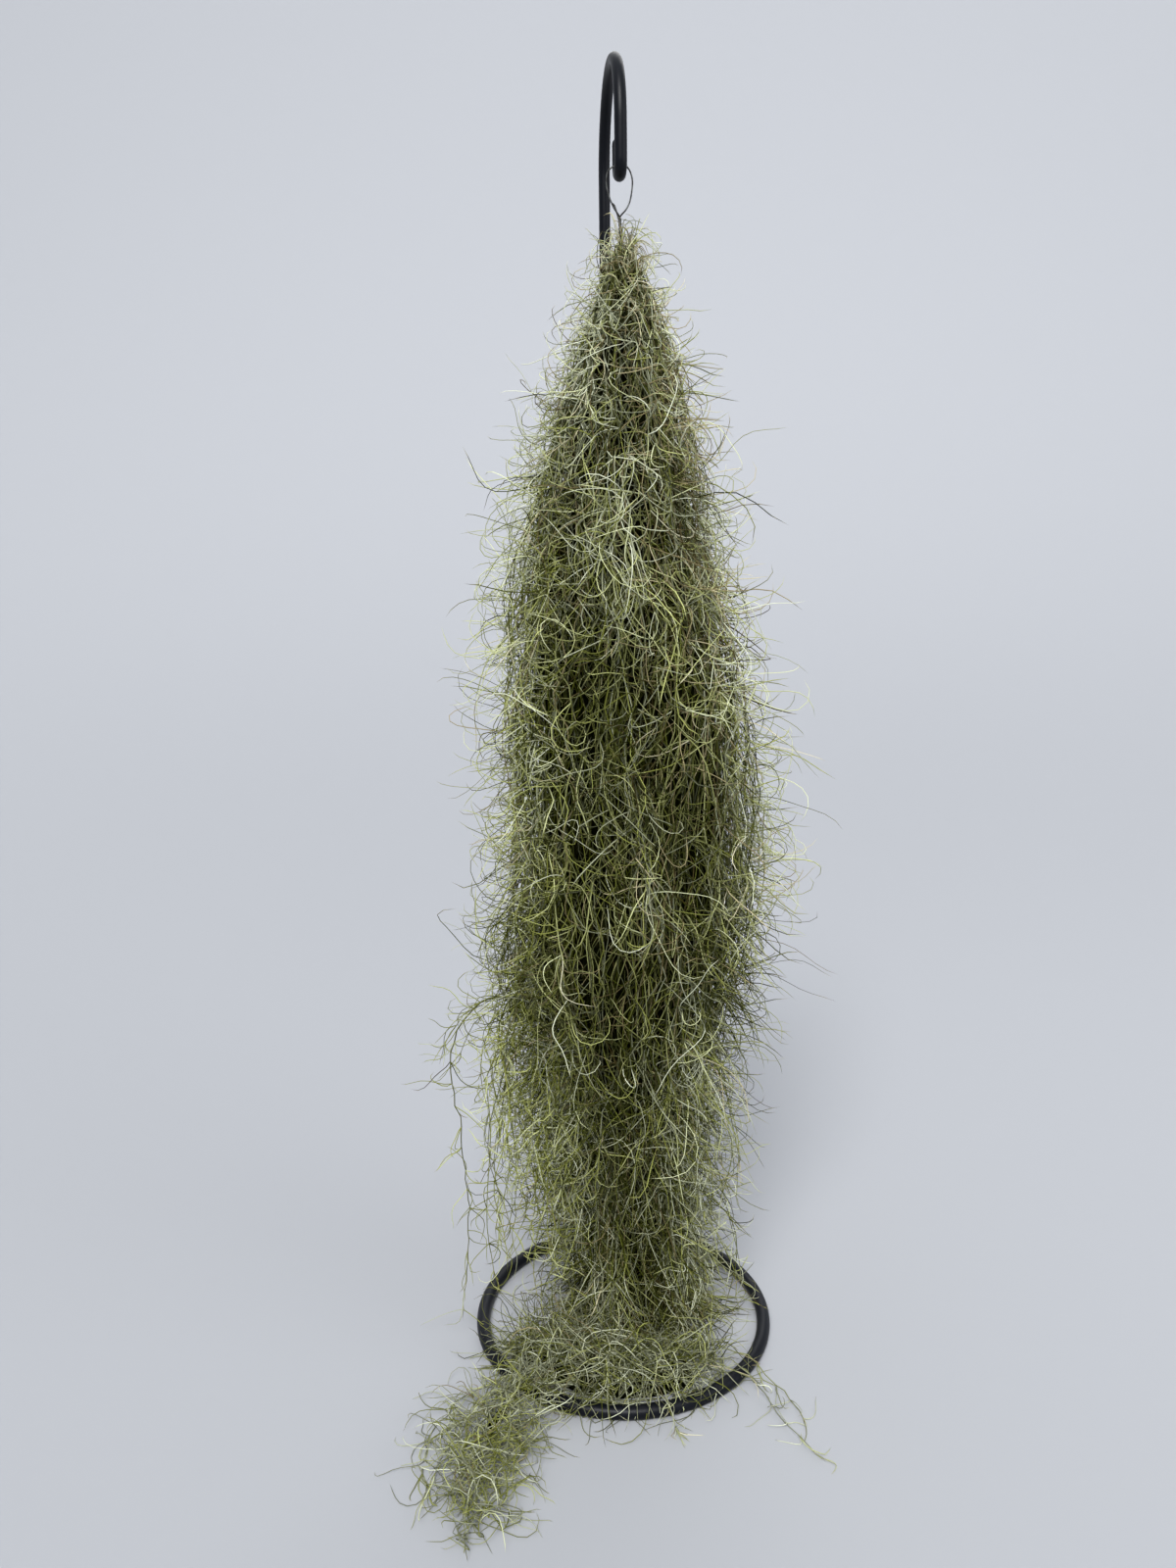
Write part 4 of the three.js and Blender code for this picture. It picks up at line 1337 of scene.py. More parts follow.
    def fullness(self, angle: Array, z: Array) -> Array:
        """Works out the share of the reach that is full of strands.

        Formula: the share all round at that height, times the left's or the right's own share as
        far as the cosine of the angle points there.

        Args:
            angle: Angles round the axis.
            z: Heights.

        Returns:
            The shares.
        """
        to_left = np.clip(-self.side_width * np.cos(angle), 0, 1)
        to_right = np.clip(self.side_width * np.cos(angle), 0, 1)
        return (read_off(self.full_round, z) * (1 - (1 - read_off(self.full_left, z)) * to_left)
                * (1 - (1 - read_off(self.full_right, z)) * to_right))

    def edge(self, number: int, z: Array) -> Array:
        """Works out the angle of the edge between two hanks.

        Formula: an even share of the turn, plus a slow and a quick sine of the height in degrees.

        Args:
            number: The hank that the edge follows, 0 for the one before the first.
            z: Heights.

        Returns:
            Angles in radians.
        """
        phases = self.edge_phase
        return np.radians(360 / self.hanks * number
                          + self.edge_sway[0] * np.sin(z / 105 + phases[number % self.hanks])
                          + self.edge_sway[1] * np.sin(z / 43 + phases[(number + 5) % self.hanks]))

    def polar(self, radius: Array | float, angle: Array, z: Array) -> Array:
        """Places points by where they are from the bunch's axis.

        Args:
            radius: Their distances from it.
            angle: Their angles round it.
            z: Their heights.

        Returns:
            The points, with their coordinates along the last axis.
        """
        radius, angle, z = np.broadcast_arrays(radius, angle, z)
        x, y = self.axis
        return np.stack([x + radius * np.cos(angle), y + radius * np.sin(angle), z], axis=-1)


@dataclass
class Hank:
    """One of the hanks that the bunch is made of: an inner body, strands down it, and their leaves."""

    number: int
    bunch: Bunch
    keep_out: KeepOut

    # The inner body.
    body_share: float = 0.70  # of the dense part's reach, that it fills
    body_columns: int = 13
    body_step: float = 12.0
    body_top_gap: float = 6.0  # between its top and the bunch's
    hole_radius: float = 2.4  # round the wire
    ridges: tuple[float, ...] = (0.14, 0.48, 0.82)  # where strands gather, across the hank
    ridge_height: float = 0.06
    groove_depth: float = 0.12

    # The leafy strands.
    leafy_density: float = 1.08  # for each 1000 square millimetres of the hank's skin
    tied_share: int = 5  # one in this many starts at the tie
    tie: Pair = (1004.0, 1034.0)  # heights
    head_start: float = 60.0  # from a strand's upper end down to the skin it was drawn for
    leafy_length: Pair = (300.0, 340.0)
    depths: Pair = (0.74, 1.12)  # of the reach, where they hang
    ridge_spread: float = 0.07
    internode: float = 28.0
    leafy_wander: float = 7.0
    leafy_radii: Pair = (0.62, 0.42)
    leafy_paleness: Pair = (0.22, 0.15)

    # The plain strands, which hang deeper.
    plain_strands: int = 18
    plain_tops: Pair = (420.0, 1030.0)
    plain_depth: float = 0.88  # of the reach, at most
    plain_stations: int = 34
    plain_step: float = 15.0
    plain_wander: float = 8.0
    plain_radii: Pair = (0.8, 0.6)
    # Their darkness is painted shade of the deep inside.
    plain_paleness: Pair = (0.12, 0.12)

    # How every strand runs.
    slow_sway: Pair = (120.0, 260.0)  # length of a sway
    quick_sway: Pair = (40.0, 90.0)
    kink: float = 1.6  # step aside at each node, to and fro
    lowest: Pair = (4.0, 8.0)  # over the floor, and what chance adds to it
    run_out: float = 22.0  # how far a strand runs out over the floor
    run_slope: float = 0.75  # run outwards for each millimetre that the floor holds back
    narrow: float = 60.0  # reach below which they stray less to and from the axis
    lift: float = 0.6  # how far they face upwards at the top
    lift_z: Pair = (930.0, 1030.0)

    # Leaves at a node, and what patches and the top add and grooves take.
    per_node: Pair = (1.5, 2.7)
    most_per_node: int = 5
    patch_leaves: float = 0.5
    top_leaves: float = 0.3
    top_heights: Pair = (860.0, 960.0)
    groove_leaves: float = 1.2

    # Paleness, and what makes it: mostly painted light and shade, with painted shade deeper in,
    # low down, in grooves, between the locks and at the front and back, and painted light further
    # out, higher up, on the locks and at the sides.
    base_light: float = 0.05
    depth_light: float = 1.4
    lock_light: float = 2.8
    patch_light: float = 0.12
    groove_shade: float = 0.4
    side_light: float = 0.2
    most_light: float = 0.4  # from locks, patches, grooves and sides together, either way
    height_light: Profile = ((40, -0.18), (200, -0.15), (450, -0.03), (750, 0.14), (1000, 0.22))

    # Where leaves grow which way.
    surface: float = 0.88  # of the reach, past which leaves show
    surface_spread: float = 0.03
    hanging_top: float = 330.0  # height below which they hang instead of curling
    hanging_spread: float = 60.0
    low_top: float = 170.0  # height below which they are short
    outer: Habit = Habit()
    hanging: Habit = Habit(length=(52.0, 122.0), turn=(0.8, 3.2), out=(0.0, 0.6), down=(0.1, 1.2),
                           scatter=0.8, droop=0.5, thick=0.46, fine=0.25)
    low: Habit = Habit(length=(36.0, 80.0), turn=(0.8, 3.0), out=(0.0, 0.4), down=(0.2, 1.3),
                       scatter=0.6, droop=0.6, thick=0.46, fine=0.25)
    inner: Habit = Habit(length=(60.0, 110.0), turn=(0.3, 1.8), wave=0.35, out=(0.0, 0.25),
                         down=(0.4, 1.3), scatter=0.6, thick=0.66, fine=0.42, segments=6)

    # Leaves that stand up round the wire, and long single ones at the sides.
    crest: int = 12
    crest_lean: float = 0.9  # how much more of them stand at the right
    crest_z: Pair = (1002.0, 1030.0)
    crest_depth: float = 0.7
    crest_paleness: float = 0.5
    upright: Habit = Habit(length=(38.0, 80.0), turn=(0.8, 3.2), out=(0.0, 0.6), down=(-1.3, -0.5),
                           scatter=0.5, droop=0.5, thick=0.44, fine=0.24)
    wisps: int = 8
    wisp_front: float = 0.6  # there are none from this sine of the angle on, towards the back
    wisp_z: Pair = (330.0, 900.0)
    wisp_depth: float = 0.92
    wisp_paleness: float = 0.35
    wispy: Habit = Habit(length=(80.0, 125.0), turn=(0.2, 1.8), out=(0.7, 1.2), down=(-0.7, 0.2),
                         scatter=0.35, droop=0.4, thick=0.42, fine=0.22)

    def __post_init__(self) -> None:
        """Starts the hank's own random numbers."""
        self.rng = np.random.default_rng([SEED, self.number])
        self.growth = Growth(self.keep_out, self.rng)
        self.middle = math.radians(360 / self.bunch.hanks * (self.number - 0.5))

    def angle(self, across: Array, z: Array) -> Array:
        """Returns the angle at a share of the way across the hank."""
        low, high = self.bunch.edge(self.number - 1, z), self.bunch.edge(self.number, z)
        return low + (high - low) * across

    def body(self) -> Skin:
        """Makes the inner body: a slice of the bunch, in painted deep shade.

        Formula: its outer side lies at a share of the bunch's reach, times one plus a cosine across
        the hank for the ridges, less the grooves. Its inner side is a strip beside the wire.

        Returns:
            The skin.
        """
        bunch = self.bunch
        across = np.linspace(0, 1, self.body_columns)[None]
        z = np.arange(bunch.foot_z, bunch.top_z - self.body_top_gap, self.body_step)[:, None]
        angle = self.angle(across, z)
        turn = 2 * np.pi * len(self.ridges) * (across - self.ridges[0])
        ridge = 1 + self.ridge_height * np.cos(turn + 0.8 * np.sin(z / 31 + self.number))
        full = self.body_share * bunch.fullness(angle, z) * ridge
        full = full * (1 - self.groove_depth * bunch.groove(angle, z))
        outer = bunch.polar(full * bunch.reach(angle, z), angle, z)
        inner = bunch.polar(self.hole_radius, self.angle(np.array([[1.0, 0.0]]), z), z)
        return sleeve(np.concatenate([outer, inner], axis=1), UvPlan.BODY_RANGE, finish=INNER)

    def area(self) -> tuple[Array, Array]:
        """Measures the hank's skin.

        Returns:
            Heights, and the skin's area below each in square millimetres.
        """
        step = 5.0
        z = np.arange(self.bunch.foot_z, self.bunch.top_z, step)
        width = self.bunch.reach(self.angle(np.array(0.5), z), z) * np.radians(360 / self.bunch.hanks)
        return z, np.cumsum(width * step)

    def strand_paths(self, tops: Array, across: Array, depth: Array, stations: int, step: float,
                     wander: float) -> tuple[Array, Array]:
        """Works out strands that hang down on the hank.

        Formula: each strand keeps its share across the hank and its share of the reach, and strays
        from both by a slow and a quick sine of the length that has fallen. Where it would pass the
        floor it runs outwards over it.

        Args:
            tops: Height of each one's upper end.
            across: Share of the way across the hank.
            depth: Share of the dense part's reach.
            stations: Points along each.
            step: Height between two points.
            wander: How far it strays sideways.

        Returns:
            Points as (strands, stations, 3), and the unit directions that face out there.
        """
        rng, count = self.rng, len(tops)
        length = np.minimum(step * (stations - 1), tops + self.run_out)[:, None]
        fall = np.linspace(0, 1, stations)[None] * length
        z = tops[:, None] - fall
        least, more = self.lowest
        below = np.maximum(0.0, least + more * rng.uniform(size=(count, 1)) - z)
        z = z + below
        phase = rng.uniform(0, 2 * np.pi, (4, count, 1))
        slow = rng.uniform(*self.slow_sway, (count, 1)) / ROUND
        quick = rng.uniform(*self.quick_sway, (count, 1)) / ROUND
        aside = wander * (np.sin(fall / slow + phase[0]) + 0.45 * np.sin(fall / quick + phase[1]))
        sway = 0.5 * wander * (np.sin(fall / slow + phase[2]) + 0.5 * np.sin(fall / quick + phase[3]))
        kink = self.kink * np.where(np.arange(stations) % 4 < 2, 1.0, -1.0)[None]
        base = self.angle(across[:, None], z)
        reach = self.bunch.reach(base, z)
        angle = base + (aside + kink) / np.maximum(reach, 25.0)
        full = depth[:, None] * self.bunch.fullness(base, z) * reach
        radius = full + sway * np.clip(reach / self.narrow, 0.2, 1) + self.run_slope * below
        points = self.bunch.polar(np.maximum(radius, 2.0), angle, z)
        lift = self.lift * ramp(z, *self.lift_z)
        return points, unit(np.stack([np.cos(angle), np.sin(angle), lift], axis=-1))

    def leafy_strands(self) -> tuple[Array, Array, Array]:
        """Places the strands that bear leaves.

        Formula: their upper ends are spread evenly over the hank's skin, some start at the tie, and
        all gather at the ridges. What hangs beside a ridge hangs deeper.

        Returns:
            Their points, the unit directions that face out there, and each one's share of the reach.
        """
        rng = self.rng
        heights, area = self.area()
        count = round(self.leafy_density * area[-1] / 1000)
        tied = count // self.tied_share
        tops = np.interp(rng.uniform(0, 1, count) * area[-1], area, heights) + self.head_start
        tops[:tied] = rng.uniform(*self.tie, tied)
        tops = np.minimum(tops, self.tie[1])
        aside = rng.normal(0, self.ridge_spread, count)
        across = rng.choice(self.ridges, count) + aside
        low, high = self.depths
        depth = low + (high - low) * rng.beta(2.0, 1.6, count) - 0.5 * np.abs(aside)
        stations = 2 * round(rng.uniform(*self.leafy_length) / self.internode) + 1
        step = self.internode / 2
        return *self.strand_paths(tops, across, depth, stations, step, self.leafy_wander), depth

    def grow_leaves(self, nodes: Array, outwards: Array, depth: Array) -> None:
        """Grows the leaves of the leafy strands.

        Formula: a node has more leaves in patches and at the top and fewer in grooves. A leaf is
        paler in patches, and by painted light and shade paler further out, higher up, on the locks and
        at the sides and darker in grooves. Those deep inside grow straight and dark with painted shade,
        those at the surface curl, and lower down they hang.

        Args:
            nodes: The nodes as (strands, nodes, 3).
            outwards: The unit directions that face out there.
            depth: Each strand's share of the reach.
        """
        rng, bunch = self.rng, self.bunch
        spots, facing = nodes.reshape(-1, 3), outwards.reshape(-1, 3)
        depths = np.repeat(depth, nodes.shape[1])
        (x, y), z = bunch.axis, spots[:, 2]
        angle = np.arctan2(spots[:, 1] - y, spots[:, 0] - x)
        patch = (np.sin(4 * angle + z / 41 + 1.0) + np.sin(7 * angle - z / 63)
                 + np.sin(z / 29 + 3 * angle)) / 3
        groove = bunch.groove(angle, z)
        leaves = (rng.uniform(*self.per_node, len(spots)) + self.patch_leaves * patch
                  + self.top_leaves * ramp(z, *self.top_heights) - self.groove_leaves * groove)
        times = np.floor(leaves + rng.uniform(size=len(spots))).clip(0, self.most_per_node).astype(int)
        # Painted light on the locks and at the sides, painted shade between the locks and in the grooves.
        light = (self.lock_light * bunch.locks(angle, z) + self.patch_light * patch
                 - self.groove_shade * groove + self.side_light * (np.abs(np.cos(angle)) - 0.5))

        spots, facing, depths, light = (np.repeat(values, times, axis=0)
                                        for values in (spots, facing, depths, light))
        z = spots[:, 2]
        # Painted shade deeper in and low down, painted light further out and higher up.
        pale = (self.base_light + self.depth_light * (depths - self.depths[0])
                + read_off(self.height_light, z) + light.clip(-self.most_light, self.most_light))
        shown = depths + rng.normal(0, self.surface_spread, len(depths)) > self.surface
        hangs = shown & (z + rng.normal(0, self.hanging_spread, len(depths)) < self.hanging_top)
        is_low = hangs & (z < self.low_top)
        for chosen, habit in ((shown & ~hangs, self.outer), (hangs & ~is_low, self.hanging),
                              (is_low, self.low), (~shown, self.inner)):
            self.growth.add_leaves(spots[chosen], facing[chosen], pale[chosen], habit)

    def grow_plain(self) -> None:
        """Grows the plain strands that fill the gaps."""
        rng, count = self.rng, self.plain_strands
        tops = rng.uniform(*self.plain_tops, count)
        across = rng.uniform(0.02, 0.98, count)
        depth = rng.uniform(self.body_share, self.plain_depth, count)
        paths, _ = self.strand_paths(tops, across, depth, self.plain_stations, self.plain_step,
                                     self.plain_wander)
        self.growth.add_strands(paths, *self.plain_radii, self.plain_paleness)

    def grow_single(self, count: int, heights: Pair, depth: float, paleness: float,
                    habit: Habit, lean: dict[Tone, float] | None = None) -> None:
        """Grows single leaves that stand out of the hank.

        Args:
            count: How many.
            heights: Between which they start.
            depth: Share of the reach where they start.
            paleness: Their mean paleness.
            habit: How they grow.
            lean: Weights to add to the colourings.
        """
        z = self.rng.uniform(*heights, count)
        angle = self.angle(self.rng.uniform(0, 1, count), z)
        spots = self.bunch.polar(depth * self.bunch.reach(angle, z), angle, z)
        outwards = np.stack([np.cos(angle), np.sin(angle), 0 * angle], axis=-1)
        self.growth.add_leaves(spots, outwards, np.full(count, paleness), habit, lean)

    def grow_crest(self) -> None:
        """Grows the leaves that stand up round the wire and arch over, most of them at the right."""
        count = round(self.crest * (1 + self.crest_lean * math.cos(self.middle)))
        self.grow_single(count, self.crest_z, self.crest_depth, self.crest_paleness, self.upright,
                         {Tone.STRAW: 0.7})

    def grow_wisps(self) -> None:
        """Grows long leaves that stand out of the hank, most at the sides, none at the back."""
        forwards = min(1.0, max(0.0, self.wisp_front - math.sin(self.middle)))
        count = round(self.wisps * abs(math.cos(self.middle)) * forwards)
        self.grow_single(count, self.wisp_z, self.wisp_depth, self.wisp_paleness, self.wispy)

    def grow_fringe(self, fringe: Fringe) -> None:
        """Grows loose strands beside the hank.

        Formula: each strand hangs straight down at its own distance from the bunch's axis, and
        sways by two sines of the length that has fallen. Its start is tucked in towards the axis by
        a share that fades as an exponential of that length.

        Args:
            fringe: The strands.
        """
        rng, count = self.rng, fringe.strands
        stations = 2 * round(fringe.lengths[1] / 2 / fringe.internode) + 1
        tops = rng.uniform(*fringe.tops, (count, 1))
        length = np.minimum(rng.uniform(*fringe.lengths, (count, 1)), tops - fringe.floor_room)
        fall = np.linspace(0, 1, stations)[None] * length
        phase = rng.uniform(0, 2 * np.pi, (4, count, 1))
        near, far = fringe.radius
        radius = (near + (far - near) * rng.uniform(size=(count, 1)) ** fringe.inner_crowd
                  + fringe.sway * (np.sin(fall / 26 + phase[0]) - np.sin(phase[0])))
        angle = (self.angle(rng.uniform(0, 1, (count, 1)), tops)
                 + fringe.swing * np.sin(fall / 31 + phase[1]))
        tucked = 1 - fringe.tuck * np.exp(-fall / fringe.tuck_fall)
        paths = self.bunch.polar(radius * tucked, angle, tops - fall)
        self.growth.add_strands(paths, *fringe.radii, fringe.strand_paleness)
        spots = np.repeat(paths[:, 1::2].reshape(-1, 3), fringe.leaves, axis=0)
        outwards = square_to(np.broadcast_to([0.0, 0.0, 1.0], spots.shape), rng)
        self.growth.add_leaves(spots, outwards, np.full(len(spots), fringe.paleness), fringe.habit)

    def build(self, finishes: list[bpy.types.Material]) -> None:
        """Builds the hank as one piece.

        Args:
            finishes: The finishes of the leaves and of the inner body.
        """
        paths, outwards, depth = self.leafy_strands()
        self.growth.add_strands(paths, *self.leafy_radii, self.leafy_paleness)
        self.grow_leaves(paths[:, 1::2], outwards[:, 1::2], depth)
        self.grow_plain()
        self.grow_crest()
        self.grow_wisps()
        if self.number in self.bunch.fringes:
            self.grow_fringe(self.bunch.fringes[self.number])
        for stray in self.bunch.strays.get(self.number, ()):
            self.growth.add_stray(stray)
        make_piece(f"hank_{self.number:02d}", [self.body(), *self.growth.skins], finishes, "moss_hanging",
                   f"moss_hank_{self.number:02d}")


# ---- The moss on the floor ----


@dataclass
class Heap:
    """Moss that lies along a path over the floor: an inner body, strands over it, and leaves."""

    name: str
    node: str
    number: int  # which starts its random numbers
    keep_out: KeepOut
    path: tuple[tuple[float, ...], ...]  # x, y, half width, height and clear height below
    strands: int = 90
    spans: Pair = (0.18, 0.34)  # share of the path that a strand covers
    strand_stations: int = 11
    gather: float = 1.0  # 1 for strands spread evenly across, more for a denser middle
    sway: float = 0.3  # across, as a share of the half width
    widest: float = 1.1  # share of the half width that a strand may reach
    layers: Pair = (0.6, 1.0)  # shares of the height where strands lie
    radii: Pair = (0.6, 0.42)  # of the strands, from the start to the end
    strand_paleness: Pair = (0.4, 0.15)  # mean and spread
    edge_rise: float = 0.2  # height at the edges, as a share of the full height
    body_size: Pair = (0.6, 0.62)  # shares of the width and height
    body_start: float = 0.06  # of the way along
    body_end: float = 0.86
    body_foot: Pair = (0.85, 0.4)  # share of its width, and height over the clear height
    per_node: int = 2  # leaves
    paleness: float = 0.5  # of the leaves
    least_pale: float = 0.14
    lean: dict[Tone, float] = field(default_factory=dict)
    strays: tuple[Stray, ...] = ()
    habit: Habit = Habit(length=(34.0, 82.0), turn=(0.5, 3.4), out=(0.0, 0.7), down=(-0.8, 0.9),
                         droop=0.5, flat=0.35, thick=0.48, segments=8)

    def __post_init__(self) -> None:
        """Starts the heap's own random numbers."""
        self.rng = np.random.default_rng([SEED, self.number])
        self.growth = Growth(self.keep_out, self.rng)
        self.rows = np.array(self.path)

    def at(self, along: Array) -> tuple[Array, Array, Array, Array]:
        """Looks up the heap's middle, half width, height and sideways direction.

        Args:
            along: Places from 0 to 1 along the path.

        Returns:
            The middles with the clear height as z, the half widths, the heights, and unit vectors
            to the left of the path.
        """
        places = np.linspace(0, 1, len(self.rows))
        x, y, half, height, under = (np.interp(along, places, self.rows[:, i]) for i in range(5))
        step = 0.06
        ahead = [np.interp(along + step, places, self.rows[:, i])
                 - np.interp(along - step, places, self.rows[:, i]) for i in range(2)]
        side = unit(np.stack([-ahead[1], ahead[0], 0 * ahead[0]], axis=-1))
        return np.stack([x, y, under], axis=-1), half, height, side

    def over(self, along: Array, across: Array, width: Array | float, rise: Array) -> Array:
        """Works out points over the heap.

        Formula: across the path the height follows half an ellipse, that starts at the height of
        the edges.

        Args:
            along: Places from 0 to 1 along the path.
            across: Places from -1 to 1 across it.
            width: Share of the heap's width.
            rise: Share of its height.

        Returns:
            The points.
        """
        middle, half, height, side = self.at(along)
        crown = self.edge_rise + (1 - self.edge_rise) * np.sqrt(np.maximum(0, 1 - across**2))
        points = middle + side * (across * half * width)[..., None]
        points[..., 2] += crown * height * rise
        return points

    def body(self) -> Skin:
        """Makes the inner body, a low mound with a flat foot, in painted deep shade.

        Formula: points over the heap at shares of its width and height, which swell and shrink by
        two sines, closed below by a strip.

        Returns:
            The skin.
        """
        along, turn = np.broadcast_arrays(np.linspace(self.body_start, self.body_end, 30)[:, None],
                                          np.linspace(0, np.pi, 15)[None])
        lump = 1 + 0.08 * np.sin(9 * turn + 23 * along) + 0.05 * np.sin(31 * along)
        width, rise = self.body_size
        foot_width, foot_rise = self.body_foot
        arch = self.over(along, np.cos(turn), width * lump, rise * lump)
        middle, half, _, side = self.at(along[:, :2])
        foot = middle + side * (half * foot_width * width * np.array([[-1.0, 1.0]]))[..., None]
        foot[..., 2] += foot_rise
        return sleeve(np.concatenate([arch, foot], axis=1), UvPlan.BODY_RANGE, finish=INNER)

    def grow(self) -> None:
        """Grows the strands and leaves.

        Formula: strands start evenly over the heap's ground, run a share of its path one way or the
        other and sway across it by a sine. One that would pass an end of the path turns back there.
        """
        rng, count = self.rng, self.strands
        length = rng.uniform(*self.spans, (count, 1)) * rng.choice([-1.0, 1.0], (count, 1))
        t = np.linspace(0, 1, self.strand_stations)[None]
        steps = np.linalg.norm(np.diff(self.rows[:, :2], axis=0), axis=1)
        ground = np.concatenate([[0.0], np.cumsum(steps * (self.rows[1:, 2] + self.rows[:-1, 2]))])
        starts = np.interp(rng.uniform(0, ground[-1], (count, 1)), ground, np.linspace(0, 1, len(ground)))
        along = 1 - np.abs(1 - np.abs(starts + length * (t - 0.5)))
        phase = rng.uniform(0, 2 * np.pi, (2, count, 1))
        aside = rng.uniform(-1, 1, (count, 1))
        across = np.sign(aside) * np.abs(aside) ** self.gather + self.sway * np.sin(4 * t + phase[0])
        across = np.clip(across, -self.widest, self.widest)
        share = rng.uniform(*self.layers, (count, 1)) + 0.05 * np.sin(9 * t + phase[1])
        paths = self.over(along, across, 1.0, share)
        self.growth.add_strands(paths, *self.radii, self.strand_paleness)

        side = self.at(along)[3]
        up = np.array([0.0, 0.0, 1.0]) * np.sqrt(np.maximum(0.05, 1 - across**2))[..., None]
        facing = unit(across[..., None] * side + up)
        way = np.cross(side, [0.0, 0.0, 1.0]) * np.sign(length)[..., None]
        spots, facing, way = (np.repeat(values[:, 1::2].reshape(-1, 3), self.per_node, axis=0)
                              for values in (paths, facing, way))
        pale = np.full(len(spots), self.paleness)
        self.growth.add_leaves(spots, facing, pale, self.habit, self.lean, way, self.least_pale)
        for stray in self.strays:
            self.growth.add_stray(stray)

    def build(self, finishes: list[bpy.types.Material]) -> None:
        """Builds the heap as one piece.

        Args:
            finishes: The finishes of the leaves and of the inner body.
        """
        self.grow()
        make_piece(self.name, [self.body(), *self.growth.skins], finishes, "moss_lying", self.node)


def floor_pile(keep_out: KeepOut) -> Heap:
    """Plans the heap inside the ring, with two strays over the ring at the right and a tuft in front.

    Args:
        keep_out: The room for the stand.

    Returns:
        The heap.
    """
    far = Stray(((80, -82, 12), (93, -87, 15.4), (109, -99, 15.2), (121, -115, 10.5), (134, -140, 4),
                 (146, -168, 3.5), (160, -192, 3.5), (174, -206, 3.5)), (2.6, 1.6), 0.35)
    near = Stray(((78, -66, 16), (100, -80, 20), (118, -92, 18), (134, -106, 8), (150, -132, 3),
                  (158, -160, 3)), (2.6, 1.6), 0.35)
    short = Habit(length=(14.0, 36.0), turn=(0.3, 1.6), out=(0.2, 0.8), down=(0.4, 1.0), scatter=0.4,
                  droop=0.5, thick=0.4, fine=0.2, segments=6)
    tuft = Stray(((22, -112, 18), (31, -134, 20), (37, -148, 13), (42, -160, 4), (52, -176, 3.5)),
                 (1.0, 9.0), 0.45, lean={Tone.STRAW: 1.0}, habit=short)
    path = ((-98, -44, 12, 14, 0.4), (-86, -62, 22, 28, 0.4), (-66, -82, 27, 40, 0.4),
            (-38, -99, 26, 44, 0.4), (-6, -107, 23, 44, 0.4), (27, -106, 20, 38, 0.4),
            (57, -96, 17, 30, 0.4), (84, -78, 12, 20, 0.4))
    return Heap("floor_pile", "moss_pile", 21, keep_out, path, strands=110, paleness=0.29,
                lean={Tone.SILVER: 0.9}, strays=(far, near, tuft))


def floor_tail(keep_out: KeepOut) -> Heap:
    """Plans the thin heap that runs out over the ring at the front left.

    Args:
        keep_out: The room for the stand.

    Returns:
        The heap.
    """
    path = ((-82, -94, 15, 8, 13.4), (-100, -118, 25, 10, 11.0), (-121, -144, 42, 15, 0.4),
            (-131, -178, 46, 17, 0.4), (-133, -214, 40, 15, 0.4), (-127, -246, 31, 11, 0.4),
            (-118, -272, 19, 7, 0.4))
    leaves = Habit(length=(26.0, 66.0), turn=(0.4, 3.6), out=(0.0, 0.5), down=(-0.9, 1.0), droop=0.5,
                   flat=0.65, segments=8)
    return Heap("floor_tail", "moss_tail", 22, keep_out, path, strands=66, gather=1.4, edge_rise=0.1,
                body_size=(0.12, 0.16), body_end=0.42, paleness=0.38, least_pale=0.28,
                lean={Tone.SILVER: 1.2, Tone.YELLOW: 0.2}, habit=leaves)


# ---- Floor, light and camera ----


class LampKind(Enum):
    """Blender's types of the lamps: a square face, or one that is far away."""

    AREA = "AREA"
    SUN = "SUN"


@dataclass(frozen=True)
class Lamp:
    """A soft light that faces the middle of the bunch, in metres."""

    name: str
    kind: LampKind
    place: Triple
    size: float  # width of its square face, or for a sun the angle that it fills
    power: float  # watts, or for a sun watts for each square metre
    target: Triple = (0.0, 0.0, 0.6)

    def build(self) -> None:
        """Adds the light."""
        lamp = bpy.data.lights.new(self.name, self.kind.value)
        setattr(lamp, "angle" if self.kind is LampKind.SUN else "size", self.size)
        lamp.energy = self.power
        holder = bpy.data.objects.new(self.name, lamp)
        holder.location = self.place
        ahead = Vector(self.target) - Vector(self.place)
        holder.rotation_euler = ahead.to_track_quat("-Z", "Y").to_euler()
        bpy.context.scene.collection.objects.link(holder)


